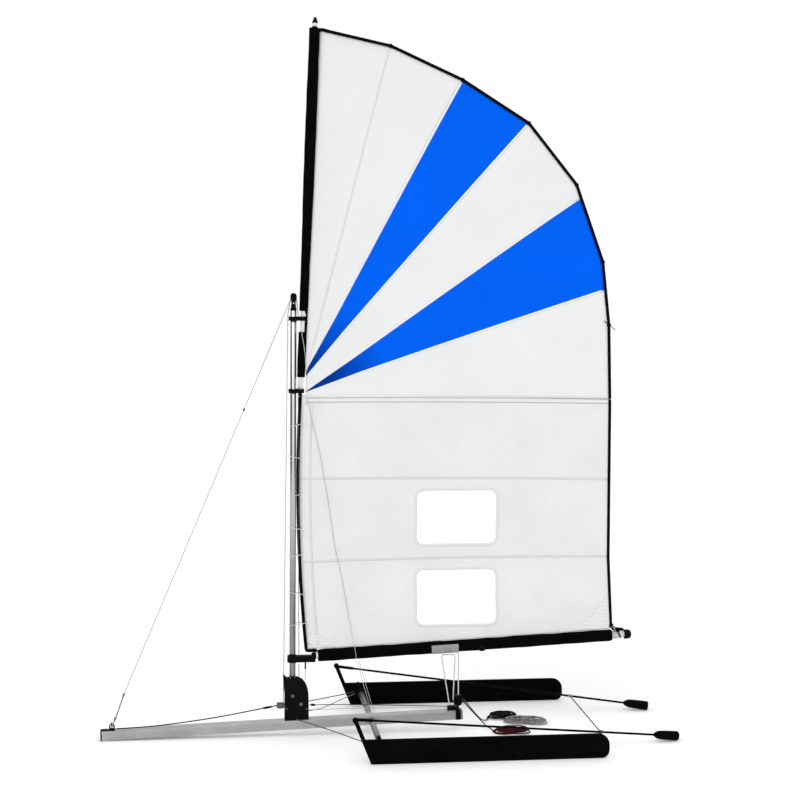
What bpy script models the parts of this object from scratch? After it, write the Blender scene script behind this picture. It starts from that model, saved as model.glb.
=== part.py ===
"""A clamp-on gunter sail rig for a canoe or kayak, set up as it stands on a floor.

A sloping deck bar carries the mast's foot, and a crossbar with two leeboards passes through it. The boom and
the gaff turn about the mast with the sail between them, and two push rods work the leeboards.
+X points aft, +Y away from the viewer and +Z up. The floor is z = 0.
"""

import math

import bmesh
import bpy
from mathutils import Matrix, Vector

# Clearances
GAP = 0.0003
RUNNING_CLEARANCE = 0.0005
OVERRUN = 0.004

# Deck bar: a rectangular tube that rises towards its aft end
BAR_LENGTH = 1.117
BAR_WIDTH = 0.040
BAR_HEIGHT = 0.028
BAR_WALL = 0.002
BAR_CORNER = 0.0028
BAR_TILT = math.radians(2.0)
BAR_FRONT_REACH = 0.5845
CAP_PLATE = 0.004
CAP_SPIGOT = 0.018
EYE_TAB_LENGTH = 0.044
EYE_TAB_THICKNESS = 0.0022
EYE_TAB_WIDTH = 0.018
EYE_RADIUS = 0.009
EYE_HOLE_RADIUS = 0.005
EYE_THICKNESS = 0.004

# Crossbar and the hubs at its ends
CROSSBAR_X = 0.2445
CROSSBAR_RADIUS = 0.009
CROSSBAR_WALL = 0.0015
HUB_RADIUS = 0.018
HUB_WIDTH = 0.022
HUB_KNOB_RADIUS = 0.0055
HUB_KNOB_REACH = 0.038
HUB_KNOB_LEAN = math.radians(18)

# Leeboards: planks with a slanted head, a rounded tip and a lever that carries the push rod
BOARD_SPACING = 0.652
BOARD_WIDTH = 0.0735
BOARD_THICKNESS = 0.010
BOARD_HEAD_REACH = 0.0335
BOARD_TIP_REACH = 0.6785
BOARD_HEAD_SLANT = math.radians(22)
BOARD_TIP_RADII = (0.022, 0.034)
BOARD_EDGE = 0.0018
LEVER_WIDTH = 0.012
LEVER_THICKNESS = 0.006
LEVER_FORWARD = 0.0805
LEVER_HEIGHT = 0.089
LEVER_EYE_RADIUS = 0.0085
STUB_LENGTH = 0.030

# Push rods
ROD_REACH = 1.1775
ROD_END_SPACING = 0.346
ROD_RADIUS = 0.0033
ROD_SOCKET_RADIUS = 0.0048
ROD_SOCKET_LENGTH = 0.055
ROD_EYE_RADIUS = 0.007
ROD_EYE_THICKNESS = 0.010
ROD_PIN_RADIUS = 0.003
GRIP_LENGTH = 0.080
GRIP_RADIUS = 0.0145
GRIP_NECK_RADIUS = 0.0055
GRIP_BORE_DEPTH = 0.060
ROD_TIE_SHARE = 0.75
ROD_TIE_RADIUS = 0.0018

# Mast and its foot
MAST_RADIUS = 0.0096
MAST_WALL = 0.0015
MAST_TOP = 1.312
HEEL_HEIGHT = 0.026
HEEL_FORWARD = 0.020
HEEL_AFT = 0.044
CHEEK_THICKNESS = 0.004
CHEEK_HEIGHT = 0.1325
CHEEK_FORWARD = 0.0238
CHEEK_AFT = 0.0501
CHEEK_OUTLINE_SHARES = (
    (0.00, 0.00), (1.00, 0.00), (0.995, 0.35), (0.985, 0.60), (0.955, 0.72), (0.875, 0.83), (0.735, 0.93),
    (0.555, 0.985), (0.410, 0.995), (0.080, 0.985), (0.005, 1.035), (-0.065, 1.083), (-0.070, 1.045),
    (-0.060, 0.90), (-0.020, 0.70), (0.00, 0.60),
)
PIVOT_BOLT_HEIGHT = 0.077
LOCK_BOLT_AFT = 0.026
LOCK_BOLT_HEIGHT = 0.0505
BOLT_RADIUS = 0.003
BOLT_HEAD_RADIUS = 0.0055
BOLT_HEAD_HEIGHT = 0.0025

# Masthead fitting
HEAD_BASE_HEIGHT = 0.006
HEAD_PLATE_HEIGHT = 0.053
HEAD_PLATE_WIDTH = 0.019
HEAD_PLATE_WAIST = 0.012
HEAD_PLATE_THICKNESS = 0.0028
HEAD_SLOT = 0.009
HEAD_SHEAVE_RADIUS = 0.0072
HEAD_SHEAVE_WIDTH = 0.0065
HEAD_SPIGOT = 0.020
SHEAVE_PIN_RADIUS = 0.002

# Foot fairlead
FAIRLEAD_LENGTH = 0.025
FAIRLEAD_HEIGHT = 0.019
FAIRLEAD_THICKNESS = 0.008
FAIRLEAD_RISE = 0.0445

# Mainsheet gear at the bar's aft end
STRAP_FROM_END = 0.0155
STRAP_WIDTH = 0.016
STRAP_THICKNESS = 0.002
STRAP_CORNER = 0.0028
STRAP_POST_RADIUS = 0.0045
STRAP_POST_HEIGHT = 0.0115
BLOCK_LENGTH = 0.026
BLOCK_HEIGHT = 0.033
BLOCK_THICKNESS = 0.018
BLOCK_SLOT = 0.0075
BLOCK_SHEAVE_RADIUS = 0.0072
BLOCK_SHEAVE_WIDTH = 0.0055
CLEAT_FROM_STRAP = 0.0190
CLEAT_LENGTH = 0.026
CLEAT_WIDTH = 0.018
CLEAT_HEIGHT = 0.0125
CLEAT_GROOVE = 0.0052

# Gooseneck and boom
GOOSENECK_HEIGHT = 0.0204
GOOSENECK_RING_RADIUS = 0.0162
GOOSENECK_ARM_HALF_WIDTH = 0.0088
GOOSENECK_TOP = 0.249
BOOM_FRONT = 0.0730
BOOM_AXIS_FRONT_Z = 0.2473
BOOM_RISE = math.radians(2.82)
BOOM_RADIUS = 0.010
BOOM_WALL = 0.0014
BOOM_LENGTH = 0.974
SLEEVE_FRONT = 0.0785
SLEEVE_LENGTH = 0.928
BOOM_SLEEVE_HALF_HEIGHTS = (0.0190, 0.0185)
BOOM_SLEEVE_HALF_THICKNESS = 0.0125
BOOM_SPIGOT = 0.040
BOOM_CAP_RADIUS = 0.0148
BOOM_CAP_LENGTH = 0.023
WEBBING_FROM_STRAP = 0.043
WEBBING_LENGTH = 0.084
WEBBING_THICKNESS = 0.002
WEBBING_TOP_SHARE = 0.55

# Gaff: it leans aft from the mast and slides on it in two collars
GAFF_FOOT_X = 0.0216
GAFF_FOOT_Z = 1.0640
GAFF_LEAN = math.radians(2.07)
GAFF_LENGTH = 1.0935
GAFF_RADIUS = 0.0085
GAFF_WALL = 0.0013
GAFF_SLEEVE_FROM = 0.046
GAFF_SLEEVE_HALF_WIDTHS = (0.0122, 0.0162)
GAFF_SLEEVE_HALF_THICKNESS = 0.0106
CUTOUT_HEIGHT = 0.064
CUTOUT_FROM = 0.183
CUTOUT_BACK = 0.0087
COLLAR_HEIGHT = 0.0125
COLLAR_RING = 0.0046
COLLAR_RISE = 0.220
GAFF_BORE_CLEARANCE = 0.0007
PLUG_RADIUS = 0.0052
PLUG_HEIGHT = 0.0105
COLLAR_FLOOR = 0.0025
GAFF_CAP_PLATE = 0.003
GAFF_CAP_NECK_RADIUS = 0.0042
GAFF_CAP_NECK = 0.0125
GAFF_CAP_TOP = 0.0175
GAFF_CAP_WIDTHS = (0.018, 0.006)
GAFF_CAP_THICKNESS = 0.008

# Sail
CLOTH = 0.0008
FILM = 0.0006
SEAM_GAP = 0.0003
SAIL_WIDTH = 0.9525
FAN_HEIGHT_SHARE = 1.0014
THROAT_Z = 1.0552
THROAT_START = 0.021
CAMBER = 0.030
CAMBER_RISE = 0.26
LEECH_RADIUS = 0.0048
LUFF_RADIUS = 0.0052
LUFF_BOW = 0.0150
LUFF_TACK_X = 0.042
TACK_BEND_SHARE = 1.15
LUFF_THROAT_X = 0.0216
LEECH_SHARES = (
    (0.270, 0.962), (0.501, 0.874), (0.717, 0.759), (0.877, 0.590), (0.968, 0.375), (0.992, 0.197),
    (1.000, -0.014),
)
FAN_SEAM_SHARES = ((0.501, 0.874), (0.717, 0.759), (0.878, 0.548), (0.976, 0.296))
FAN_FOOT_SHARES = (0.0627, 0.0502, 0.0069, 0.0069)
FAN_COLUMN = 0.070
LEECH_LOWER_Z = 0.540
LEECH_LOWER_X = 0.9905
CLEW_X = 1.0035
WINDOW_X = 0.3870
WINDOW_WIDTH = 0.2490
WINDOW_HEIGHT = 0.1670
WINDOW_LOW_Z = 0.3370
WINDOW_HIGH_Z = 0.5865
WINDOW_CORNER = 0.022

# Ropes
ROPE_THIN = 0.0011
ROPE_LIGHT = 0.0015
ROPE_SHEET = 0.0018
ROPE_LANYARD = 0.0020
SHEET_FORE_SHARE = 0.107
SHEET_FALL_SHARES = (-0.44, 0.77)
CONTROL_START = (0.013, -0.010, -0.004)
CONTROL_ROUTE = (
    (-0.500, -0.010, 0.0365), (-0.400, -0.009, 0.0425), (-0.240, -0.006, 0.0610), (-0.092, -0.001, 0.0850),
    (-0.086, 0.0, 0.0860), (-0.068, 0.0, 0.0885),
)
CONTROL_END_Z = 0.0930
BRACE_NEAR_ROUTE = ((0.10, -0.135, 0.052), (0.19, -0.262, 0.050))
BRACE_FAR_ROUTE = ((0.15, 0.155, 0.0775),)
BRAIL_PLACES = (
    (0.0430, 1.0420), (0.0830, 0.8715), (0.1050, 0.7517), (0.1304, 0.5817), (0.1524, 0.4884),
    (0.1746, 0.3603),
)
BRAIL_FOOT_PLACES = ((0.1880, 0.2850), (0.1937, 0.2600), (0.1965, 0.2385))
BRAIL_LOW_PLACES = ((0.1968, 0.2345), (0.2180, 0.1600), (0.2400, 0.0860))
FERRULE_RADIUS = 0.0026
HANK_LOOPS = 3
HANK_LOOP_POINTS = 24
HANK_STEP = 0.0068
HANK_WAIST_SHARE = 0.62
HANK_LAYER = 0.0052
HANK_RISE = 0.0090
HANK_RADIUS = 0.0018

ROUND_STEPS = 24
SMALL_STEPS = 16
FAN_STEPS = 8

# Places that follow from the sizes above
BAR_AIM = Vector((math.cos(BAR_TILT), 0, math.sin(BAR_TILT)))
BAR_UP = Vector((-math.sin(BAR_TILT), 0, math.cos(BAR_TILT)))
BAR_NOSE = Vector((-BAR_FRONT_REACH, 0, 0))
BOARD_Y = BOARD_SPACING / 2
STRAP_X = BAR_LENGTH - BAR_FRONT_REACH - STRAP_FROM_END
CLEAT_X = STRAP_X - CLEAT_FROM_STRAP
WEBBING_X = STRAP_X - WEBBING_FROM_STRAP
FAN_HEIGHT = GAFF_LENGTH * FAN_HEIGHT_SHARE
BOOM_AIM = Vector((math.cos(BOOM_RISE), 0, math.sin(BOOM_RISE)))
GAFF_AIM = Vector((math.sin(GAFF_LEAN), 0, math.cos(GAFF_LEAN)))
GAFF_FOOT = Vector((GAFF_FOOT_X, 0, GAFF_FOOT_Z))


def bar_z(x, height):
    """The height above the floor, at x behind the mast, of what is this high above the bar's underside."""
    return (x + BAR_FRONT_REACH) * math.tan(BAR_TILT) + height / math.cos(BAR_TILT)


def bar_at(x, y, height):
    """A point of the tilted bar's own frame: at x behind the mast, and this high, square to the underside."""
    along = (x + BAR_FRONT_REACH + height * math.sin(BAR_TILT)) / math.cos(BAR_TILT)
    return BAR_NOSE + BAR_AIM * along + BAR_UP * height + Vector((0, y, 0))


PIVOT = Vector((CROSSBAR_X, 0, bar_z(CROSSBAR_X, BAR_HEIGHT / 2)))
BAR_TOP_AT_MAST = bar_z(0, BAR_HEIGHT)
LEVER_TOP = PIVOT + Vector((-LEVER_FORWARD, 0, LEVER_HEIGHT))
ROD_EYE_Y = BOARD_Y - LEVER_THICKNESS / 2 - GAP - ROD_EYE_THICKNESS / 2
GRIP_SHOULDER = GRIP_LENGTH * 0.08
ROD_END_Z = GRIP_RADIUS
for _ in range(4):
    ROD_SLOPE = math.atan2(LEVER_TOP.z - ROD_END_Z, ROD_REACH - LEVER_TOP.x)
    ROD_END_Z = GRIP_RADIUS * math.cos(ROD_SLOPE) - GRIP_SHOULDER * math.sin(ROD_SLOPE)


def rod_line(side):
    """The push rod's start at the lever and its end in the grip, on the side where y has this sign."""
    start = Vector((LEVER_TOP.x, side * ROD_EYE_Y, LEVER_TOP.z))
    return start, Vector((ROD_REACH, side * ROD_END_SPACING / 2, ROD_END_Z))


def boom_z(x):
    return BOOM_AXIS_FRONT_Z + (x - SLEEVE_FRONT) * math.tan(BOOM_RISE)


def boom_at(x):
    return Vector((x, 0, boom_z(x)))


def sleeve_half_height(x):
    share = (x - SLEEVE_FRONT) / SLEEVE_LENGTH
    return BOOM_SLEEVE_HALF_HEIGHTS[0] + (BOOM_SLEEVE_HALF_HEIGHTS[1] - BOOM_SLEEVE_HALF_HEIGHTS[0]) * share


def tack_z():
    """The height of the luff rope's last run, above the boom's tube."""
    return boom_z(SLEEVE_FRONT) + BOOM_RADIUS + LUFF_RADIUS + 2 * GAP


def foot_z(x):
    """The sail's lower edge, just above the boom's sleeve and the luff rope's last run."""
    over_sleeve = boom_z(x) + sleeve_half_height(x) / math.cos(BOOM_RISE) + 2 * GAP
    return max(over_sleeve, tack_z() + LUFF_RADIUS + GAP)


def gaff_at(along):
    return GAFF_FOOT + GAFF_AIM * along


def gaff_x(z):
    return GAFF_FOOT_X + (z - GAFF_FOOT_Z) * math.tan(GAFF_LEAN)


def gaff_sleeve_back(along):
    """The aft edge of the gaff's sleeve, this far up the gaff."""
    share = (along - GAFF_SLEEVE_FROM) / (GAFF_LENGTH - GAFF_SLEEVE_FROM)
    half = GAFF_SLEEVE_HALF_WIDTHS[0] + (GAFF_SLEEVE_HALF_WIDTHS[1] - GAFF_SLEEVE_HALF_WIDTHS[0]) * share
    return gaff_at(along) + Vector((GAFF_AIM.z, 0, -GAFF_AIM.x)) * (half + GAP)


SLEEVE_BACK_LOW = gaff_sleeve_back(GAFF_SLEEVE_FROM)
SLEEVE_BACK_TOP = gaff_sleeve_back(GAFF_LENGTH)
BACK_SLOPE = (SLEEVE_BACK_TOP.x - SLEEVE_BACK_LOW.x) / (SLEEVE_BACK_TOP.z - SLEEVE_BACK_LOW.z)


def sleeve_back_at(z):
    """The point of the aft edge of the gaff's sleeve at this height."""
    return Vector((SLEEVE_BACK_LOW.x + BACK_SLOPE * (z - SLEEVE_BACK_LOW.z), 0, z))


THROAT = sleeve_back_at(THROAT_Z)
HEAD_CORNER = Vector((SLEEVE_BACK_TOP.x + LEECH_RADIUS, 0, SLEEVE_BACK_TOP.z - LEECH_RADIUS))


def from_throat(share_x, share_z):
    return THROAT + Vector((share_x * SAIL_WIDTH, 0, share_z * FAN_HEIGHT))


LEECH_POINTS = [HEAD_CORNER] + [from_throat(*shares) for shares in LEECH_SHARES]
THROAT_END = LEECH_POINTS[-1]


def throat_seam_z(x):
    return THROAT.z + (x - THROAT.x) * (THROAT_END.z - THROAT.z) / (THROAT_END.x - THROAT.x)


def leech_hit(start, direction, inset):
    """How far a ray from this start runs before it comes within inset of the fan's outline."""
    reach = []
    for first, second in zip(LEECH_POINTS, LEECH_POINTS[1:]):
        run = second - first
        outward = Vector((-run.z, 0, run.x)).normalized()
        facing = outward.dot(direction)
        if facing > 0:
            reach.append((outward.dot(first - start) - inset) / facing)
    return min(reach)


def luff_share(z):
    low = foot_z(LUFF_TACK_X)
    return (z - low) / (THROAT.z - low)


def luff_x(z):
    share = min(max(luff_share(z), 0), 1)
    straight = LUFF_TACK_X + (LUFF_THROAT_X - LUFF_TACK_X) * share
    return straight - LUFF_BOW * 4 * share * (1 - share)


def leech_x(z):
    """The leech at this height: straight runs through the clew, the lower leech and the fan's corners."""
    corners = [Vector((CLEW_X, 0, foot_z(CLEW_X))), Vector((LEECH_LOWER_X, 0, LEECH_LOWER_Z))]
    corners += list(reversed(LEECH_POINTS))
    for low, high in zip(corners, corners[1:]):
        if z <= high.z:
            share = max(0, (z - low.z) / (high.z - low.z))
            return low.x + (high.x - low.x) * share
    return corners[-1].x


def camber(x, z):
    """How far the cloth bellies away from the viewer: nothing at the luff, the leech and the foot."""
    left = luff_x(z) if z < THROAT.z else gaff_x(z)
    chord = leech_x(z) - left
    if chord <= 0:
        return 0
    across = min(max((x - left) / chord, 0), 1)
    rise = min(max((z - foot_z(x)) / CAMBER_RISE, 0), 1)
    belly = rise * rise * (3 - 2 * rise)
    return CAMBER * 4 * across * (1 - across) * belly * chord / SAIL_WIDTH


def on_sail(x, z):
    return Vector((x, camber(x, z), z))


GRIP_ENDS = rod_line(1)
ROD_AIM = (GRIP_ENDS[1] - GRIP_ENDS[0]).normalized()
AFT_EXTREME = ROD_REACH + GRIP_RADIUS * math.sqrt(1 - ROD_AIM.x**2) * 0.9
FRONT_EXTREME = BAR_FRONT_REACH + BAR_HEIGHT * math.sin(BAR_TILT)
MAST_X = (FRONT_EXTREME - AFT_EXTREME) / 2

for old in list(bpy.data.objects):
    bpy.data.objects.remove(old, do_unlink=True)

RIG = bpy.data.collections.new("canoe_sail_rig")
CUTTERS = bpy.data.collections.new("cutters")
bpy.context.scene.collection.children.link(RIG)
bpy.context.scene.collection.children.link(CUTTERS)


def make_material(name, colour, roughness, metallic=0.0, alpha=1.0):
    made = bpy.data.materials.new(name)
    made.use_nodes = True
    shader = made.node_tree.nodes["Principled BSDF"]
    shader.inputs["Base Color"].default_value = (*colour, 1.0)
    shader.inputs["Roughness"].default_value = roughness
    shader.inputs["Metallic"].default_value = metallic
    shader.inputs["Alpha"].default_value = alpha
    return made


ALUMINIUM = make_material("aluminium", (0.62, 0.63, 0.65), 0.35, 1.0)
WHITE_TUBE = make_material("white_tube", (0.82, 0.83, 0.84), 0.35)
STEEL = make_material("steel", (0.55, 0.56, 0.58), 0.3, 1.0)
BLACK_PLASTIC = make_material("black_plastic", (0.012, 0.012, 0.013), 0.45)
BLACK_PAINT = make_material("black_paint", (0.010, 0.010, 0.011), 0.5)
BLACK_CLOTH = make_material("black_cloth", (0.008, 0.009, 0.009), 0.9)
WHITE_SAIL = make_material("white_sailcloth", (0.86, 0.87, 0.88), 0.6)
BLUE_SAIL = make_material("blue_sailcloth", (0.0, 0.11, 0.90), 0.55)
CLEAR_FILM = make_material("clear_film", (0.90, 0.93, 0.95), 0.12, 0.0, 0.35)
WHITE_ROPE = make_material("white_rope", (0.80, 0.80, 0.79), 0.85)
GREY_ROPE = make_material("grey_rope", (0.27, 0.28, 0.28), 0.85)
BLACK_ROPE = make_material("black_rope", (0.012, 0.012, 0.012), 0.85)
RED_ROPE = make_material("dark_red_rope", (0.10, 0.008, 0.02), 0.85)
GREY_WEBBING = make_material("grey_webbing", (0.22, 0.23, 0.24), 0.85)
GREY_SHEAVE = make_material("grey_sheave", (0.35, 0.36, 0.37), 0.4)


def make_hub(name, place, parent=None):
    """An empty at this place, counted from the mast's axis. What it carries is attached with attach()."""
    hub = bpy.data.objects.new(name, None)
    RIG.objects.link(hub)
    hub["place"] = list(place)
    hub.parent = parent
    hub.location = Vector(place) - (Vector(parent["place"]) if parent else Vector((-MAST_X, 0, 0)))
    return hub


def attach(obj, material, hub):
    """Gives the object its material and its carrier. Its mesh and its location count from the mast's axis."""
    obj.data.materials.clear()
    obj.data.materials.append(material)
    obj.parent = hub
    obj.location = obj.location - Vector(hub["place"])
    return obj


def link(name, data, collection=None):
    obj = bpy.data.objects.new(name, data)
    (collection or RIG).objects.link(obj)
    return obj


def hide_as_cutter(obj):
    RIG.objects.unlink(obj)
    CUTTERS.objects.link(obj)
    obj.parent = STATION
    obj.hide_render = True
    obj.display_type = "WIRE"
    return obj


def frame_along(origin, aim, side):
    """A matrix whose Z runs along aim and whose X runs along side, squared to it."""
    z_axis = Vector(aim).normalized()
    x_axis = (Vector(side) - z_axis * z_axis.dot(Vector(side))).normalized()
    y_axis = z_axis.cross(x_axis)
    turned = Matrix((x_axis, y_axis, z_axis)).transposed().to_4x4()
    return Matrix.Translation(origin) @ turned


def place_in(obj, frame):
    obj.location = frame.to_translation()
    obj.rotation_euler = frame.to_euler()
    return obj


def smooth_shading(obj, angle=35):
    obj.data.shade_smooth()
    obj.data.set_sharp_from_angle(angle=math.radians(angle))


def prism(name, loops, depth, frame):
    """A flat outline with its holes, made this thick about the frame's XY plane, as a mesh."""
    curve = bpy.data.curves.new(name, "CURVE")
    curve.dimensions = "2D"
    curve.fill_mode = "BOTH"
    curve.extrude = depth / 2
    for loop in loops:
        spline = curve.splines.new("POLY")
        spline.points.add(len(loop) - 1)
        for point, (x, y) in zip(spline.points, loop):
            point.co = (x, y, 0, 1)
        spline.use_cyclic_u = True
    guide = link(name, curve)
    bpy.context.view_layer.update()
    graph = bpy.context.evaluated_depsgraph_get()
    mesh = bpy.data.meshes.new_from_object(guide.evaluated_get(graph))
    bpy.data.objects.remove(guide)
    build = bmesh.new()
    build.from_mesh(mesh)
    bmesh.ops.remove_doubles(build, verts=build.verts, dist=GAP / 100)
    bmesh.ops.recalc_face_normals(build, faces=build.faces)
    build.to_mesh(mesh)
    build.free()
    return place_in(link(name, mesh), frame)


def turned(name, profile, frame, steps=ROUND_STEPS, ring=False):
    """A turned shape about the frame's Z, from (radius, height) points that run down its outer side."""
    mesh = bpy.data.meshes.new(name)
    count = len(profile)
    edges = [(i, i + 1) for i in range(count - 1)] + ([(count - 1, 0)] if ring else [])
    mesh.from_pydata([(radius, 0, height) for radius, height in profile], edges, [])
    obj = link(name, mesh)
    screw = obj.modifiers.new("turn", "SCREW")
    screw.steps = steps
    screw.render_steps = steps
    screw.use_merge_vertices = True
    screw.merge_threshold = GAP / 10
    screw.use_smooth_shade = True
    return place_in(obj, frame)


def rod(name, start, end, radius, steps=SMALL_STEPS):
    """A plain round bar between two points."""
    length = (Vector(end) - Vector(start)).length
    profile = [(0, length), (radius, length), (radius, 0), (0, 0)]
    return turned(name, profile, frame_along(start, Vector(end) - Vector(start), (0.02, 1, 0)), steps)


def pipe(name, start, end, radius, wall, steps=ROUND_STEPS):
    """A round tube, open at both ends."""
    length = (Vector(end) - Vector(start)).length
    inner = radius - wall
    profile = [(radius, length), (radius, 0), (inner, 0), (inner, length)]
    frame = frame_along(start, Vector(end) - Vector(start), (0.02, 1, 0))
    return turned(name, profile, frame, steps, ring=True)


def block(name, size, frame):
    mesh = bpy.data.meshes.new(name)
    build = bmesh.new()
    bmesh.ops.create_cube(build, size=1.0)
    bmesh.ops.scale(build, vec=size, verts=build.verts)
    build.to_mesh(mesh)
    build.free()
    return place_in(link(name, mesh), frame)


def rope(name, points, radius, swell=None, resolution=2):
    """A rope or wire through these points. Swell gives chosen points, by index, a share of the radius."""
    curve = bpy.data.curves.new(name, "CURVE")
    curve.dimensions = "3D"
    curve.bevel_depth = radius
    curve.bevel_resolution = resolution
    curve.use_fill_caps = True
    spline = curve.splines.new("POLY")
    spline.points.add(len(points) - 1)
    for index, point in enumerate(points):
        spline.points[index].co = (*point, 1)
        spline.points[index].radius = (swell or {}).get(index, 1.0)
    spline.use_smooth = True
    return link(name, curve)


def smooth_route(points, spacing):
    """Points about this far apart on a smooth curve through the route's own points."""
    ends = [Vector(point) for point in points]
    ends = [2 * ends[0] - ends[1]] + ends + [2 * ends[-1] - ends[-2]]
    route = []
    for before, start, end, after in zip(ends, ends[1:], ends[2:], ends[3:]):
        count = max(1, round((end - start).length / spacing))
        for step in range(count):
            t = step / count
            bend = (2 * start + (end - before) * t + (2 * before - 5 * start + 4 * end - after) * t**2
                    + (3 * start - before - 3 * end + after) * t**3)
            route.append(bend / 2)
    return route + [ends[-2]]


def boolean(obj, other, operation="DIFFERENCE"):
    cut = obj.modifiers.new(operation.lower(), "BOOLEAN")
    cut.operation = operation
    cut.solver = "EXACT"
    cut.object = hide_as_cutter(other)
    return obj


def round_edges(obj, width, segments=2):
    bevel = obj.modifiers.new("edges", "BEVEL")
    bevel.width = width
    bevel.segments = segments
    bevel.limit_method = "ANGLE"
    bevel.angle_limit = math.radians(50)
    return obj


def rectangle(width, height, corner=0.0, steps=3):
    """A rectangle about the origin, with round corners if it has any."""
    if corner <= 0:
        return [
            (-width / 2, -height / 2), (width / 2, -height / 2), (width / 2, height / 2),
            (-width / 2, height / 2),
        ]
    points = []
    for index, (sx, sy) in enumerate(((1, -1), (1, 1), (-1, 1), (-1, -1))):
        centre = (sx * (width / 2 - corner), sy * (height / 2 - corner))
        for step in range(steps + 1):
            angle = math.radians(90) * (index - 1 + step / steps)
            points.append((centre[0] + corner * math.cos(angle), centre[1] + corner * math.sin(angle)))
    return points


def circle(radius, centre=(0.0, 0.0), steps=ROUND_STEPS):
    turn = 2 * math.pi / steps
    angles = [turn * i for i in range(steps)]
    return [(centre[0] + radius * math.cos(angle), centre[1] + radius * math.sin(angle)) for angle in angles]


def two_circle_hull(first, second, distance, steps=10):
    """The outline round a circle at the origin and one this far along +X."""
    lean = math.acos((first - second) / distance)
    points = []
    for step in range(steps + 1):
        angle = lean + (2 * math.pi - 2 * lean) * step / steps
        points.append((first * math.cos(angle), first * math.sin(angle)))
    for step in range(steps + 1):
        angle = -lean + 2 * lean * step / steps
        points.append((distance + second * math.cos(angle), second * math.sin(angle)))
    return points


def oval_ring(sections, steps):
    """Rings of points: each section is (centre, side, depth, half width along side, half thickness)."""
    rings = []
    for centre, side, depth, half_width, half_depth in sections:
        ring = []
        for step in range(steps):
            angle = 2 * math.pi * step / steps
            ring.append(centre + side * half_width * math.cos(angle) + depth * half_depth * math.sin(angle))
        rings.append(ring)
    return rings


def sleeve(name, outer, inner, steps=ROUND_STEPS):
    """A sleeve lofted between its outer sections and its inner ones, open at both ends."""
    rings = oval_ring(outer, steps) + list(reversed(oval_ring(inner, steps)))
    vertices = [point for ring in rings for point in ring]
    faces = []
    for ring in range(len(rings)):
        following = (ring + 1) % len(rings)
        for step in range(steps):
            ahead = (step + 1) % steps
            near, far = ring * steps, following * steps
            faces.append((near + step, near + ahead, far + ahead, far + step))
    mesh = bpy.data.meshes.new(name)
    mesh.from_pydata(vertices, [], faces)
    build = bmesh.new()
    build.from_mesh(mesh)
    bmesh.ops.recalc_face_normals(build, faces=build.faces)
    build.to_mesh(mesh)
    build.free()
    obj = link(name, mesh)
    smooth_shading(obj)
    return obj


def cloth(name, rows, thickness):
    """A thin sheet on a grid of points, the same count in every row."""
    columns = len(rows[0])
    faces = []
    for row in range(len(rows) - 1):
        for column in range(columns - 1):
            corner = row * columns + column
            faces.append((corner, corner + 1, corner + columns + 1, corner + columns))
    mesh = bpy.data.meshes.new(name)
    mesh.from_pydata([point for row in rows for point in row], [], faces)
    mesh.shade_smooth()
    obj = link(name, mesh)
    solid = obj.modifiers.new("thickness", "SOLIDIFY")
    solid.thickness = thickness
    solid.offset = 0
    return obj


STATION = make_hub("mast_station", (0, 0, 0))
SWING = make_hub("sail_swing_axis", (0, 0, 0), STATION)
HOIST = make_hub("gaff_hoist_axis", (0, 0, GAFF_FOOT_Z), SWING)


def make_deck_bar():
    mid = BAR_NOSE + BAR_AIM * (BAR_LENGTH / 2) + BAR_UP * (BAR_HEIGHT / 2)
    frame = frame_along(mid, BAR_AIM, (0, 1, 0))
    outer = rectangle(BAR_WIDTH, BAR_HEIGHT, BAR_CORNER)
    inner = rectangle(BAR_WIDTH - 2 * BAR_WALL, BAR_HEIGHT - 2 * BAR_WALL)
    bar = prism("deck_bar", [outer, inner], BAR_LENGTH - 2 * (CAP_PLATE + GAP), frame)
    reach = BAR_WIDTH / 2 + OVERRUN
    hole = rod(
        "crossbar_hole", PIVOT - Vector((0, reach, 0)), PIVOT + Vector((0, reach, 0)), CROSSBAR_RADIUS + GAP,
        ROUND_STEPS,
    )
    attach(boolean(bar, hole), ALUMINIUM, STATION)


def make_bar_cap(name, along, inward):
    """A plug for one end of the bar: a plate as large as the bar and a spigot inside it."""
    centre = BAR_NOSE + BAR_AIM * (along + inward * CAP_PLATE / 2) + BAR_UP * (BAR_HEIGHT / 2)
    plate = prism(
        name, [rectangle(BAR_WIDTH, BAR_HEIGHT, BAR_CORNER)], CAP_PLATE,
        frame_along(centre, BAR_AIM, (0, 1, 0)),
    )
    size = (BAR_WIDTH - 2 * (BAR_WALL + GAP), BAR_HEIGHT - 2 * (BAR_WALL + GAP), CAP_SPIGOT + OVERRUN / 2)
    middle = centre + BAR_AIM * inward * (CAP_PLATE / 2 + CAP_SPIGOT / 2 - OVERRUN / 4)
    boolean(plate, block(name + "_spigot", size, frame_along(middle, BAR_AIM, (0, 1, 0))), "UNION")
    return plate


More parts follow.
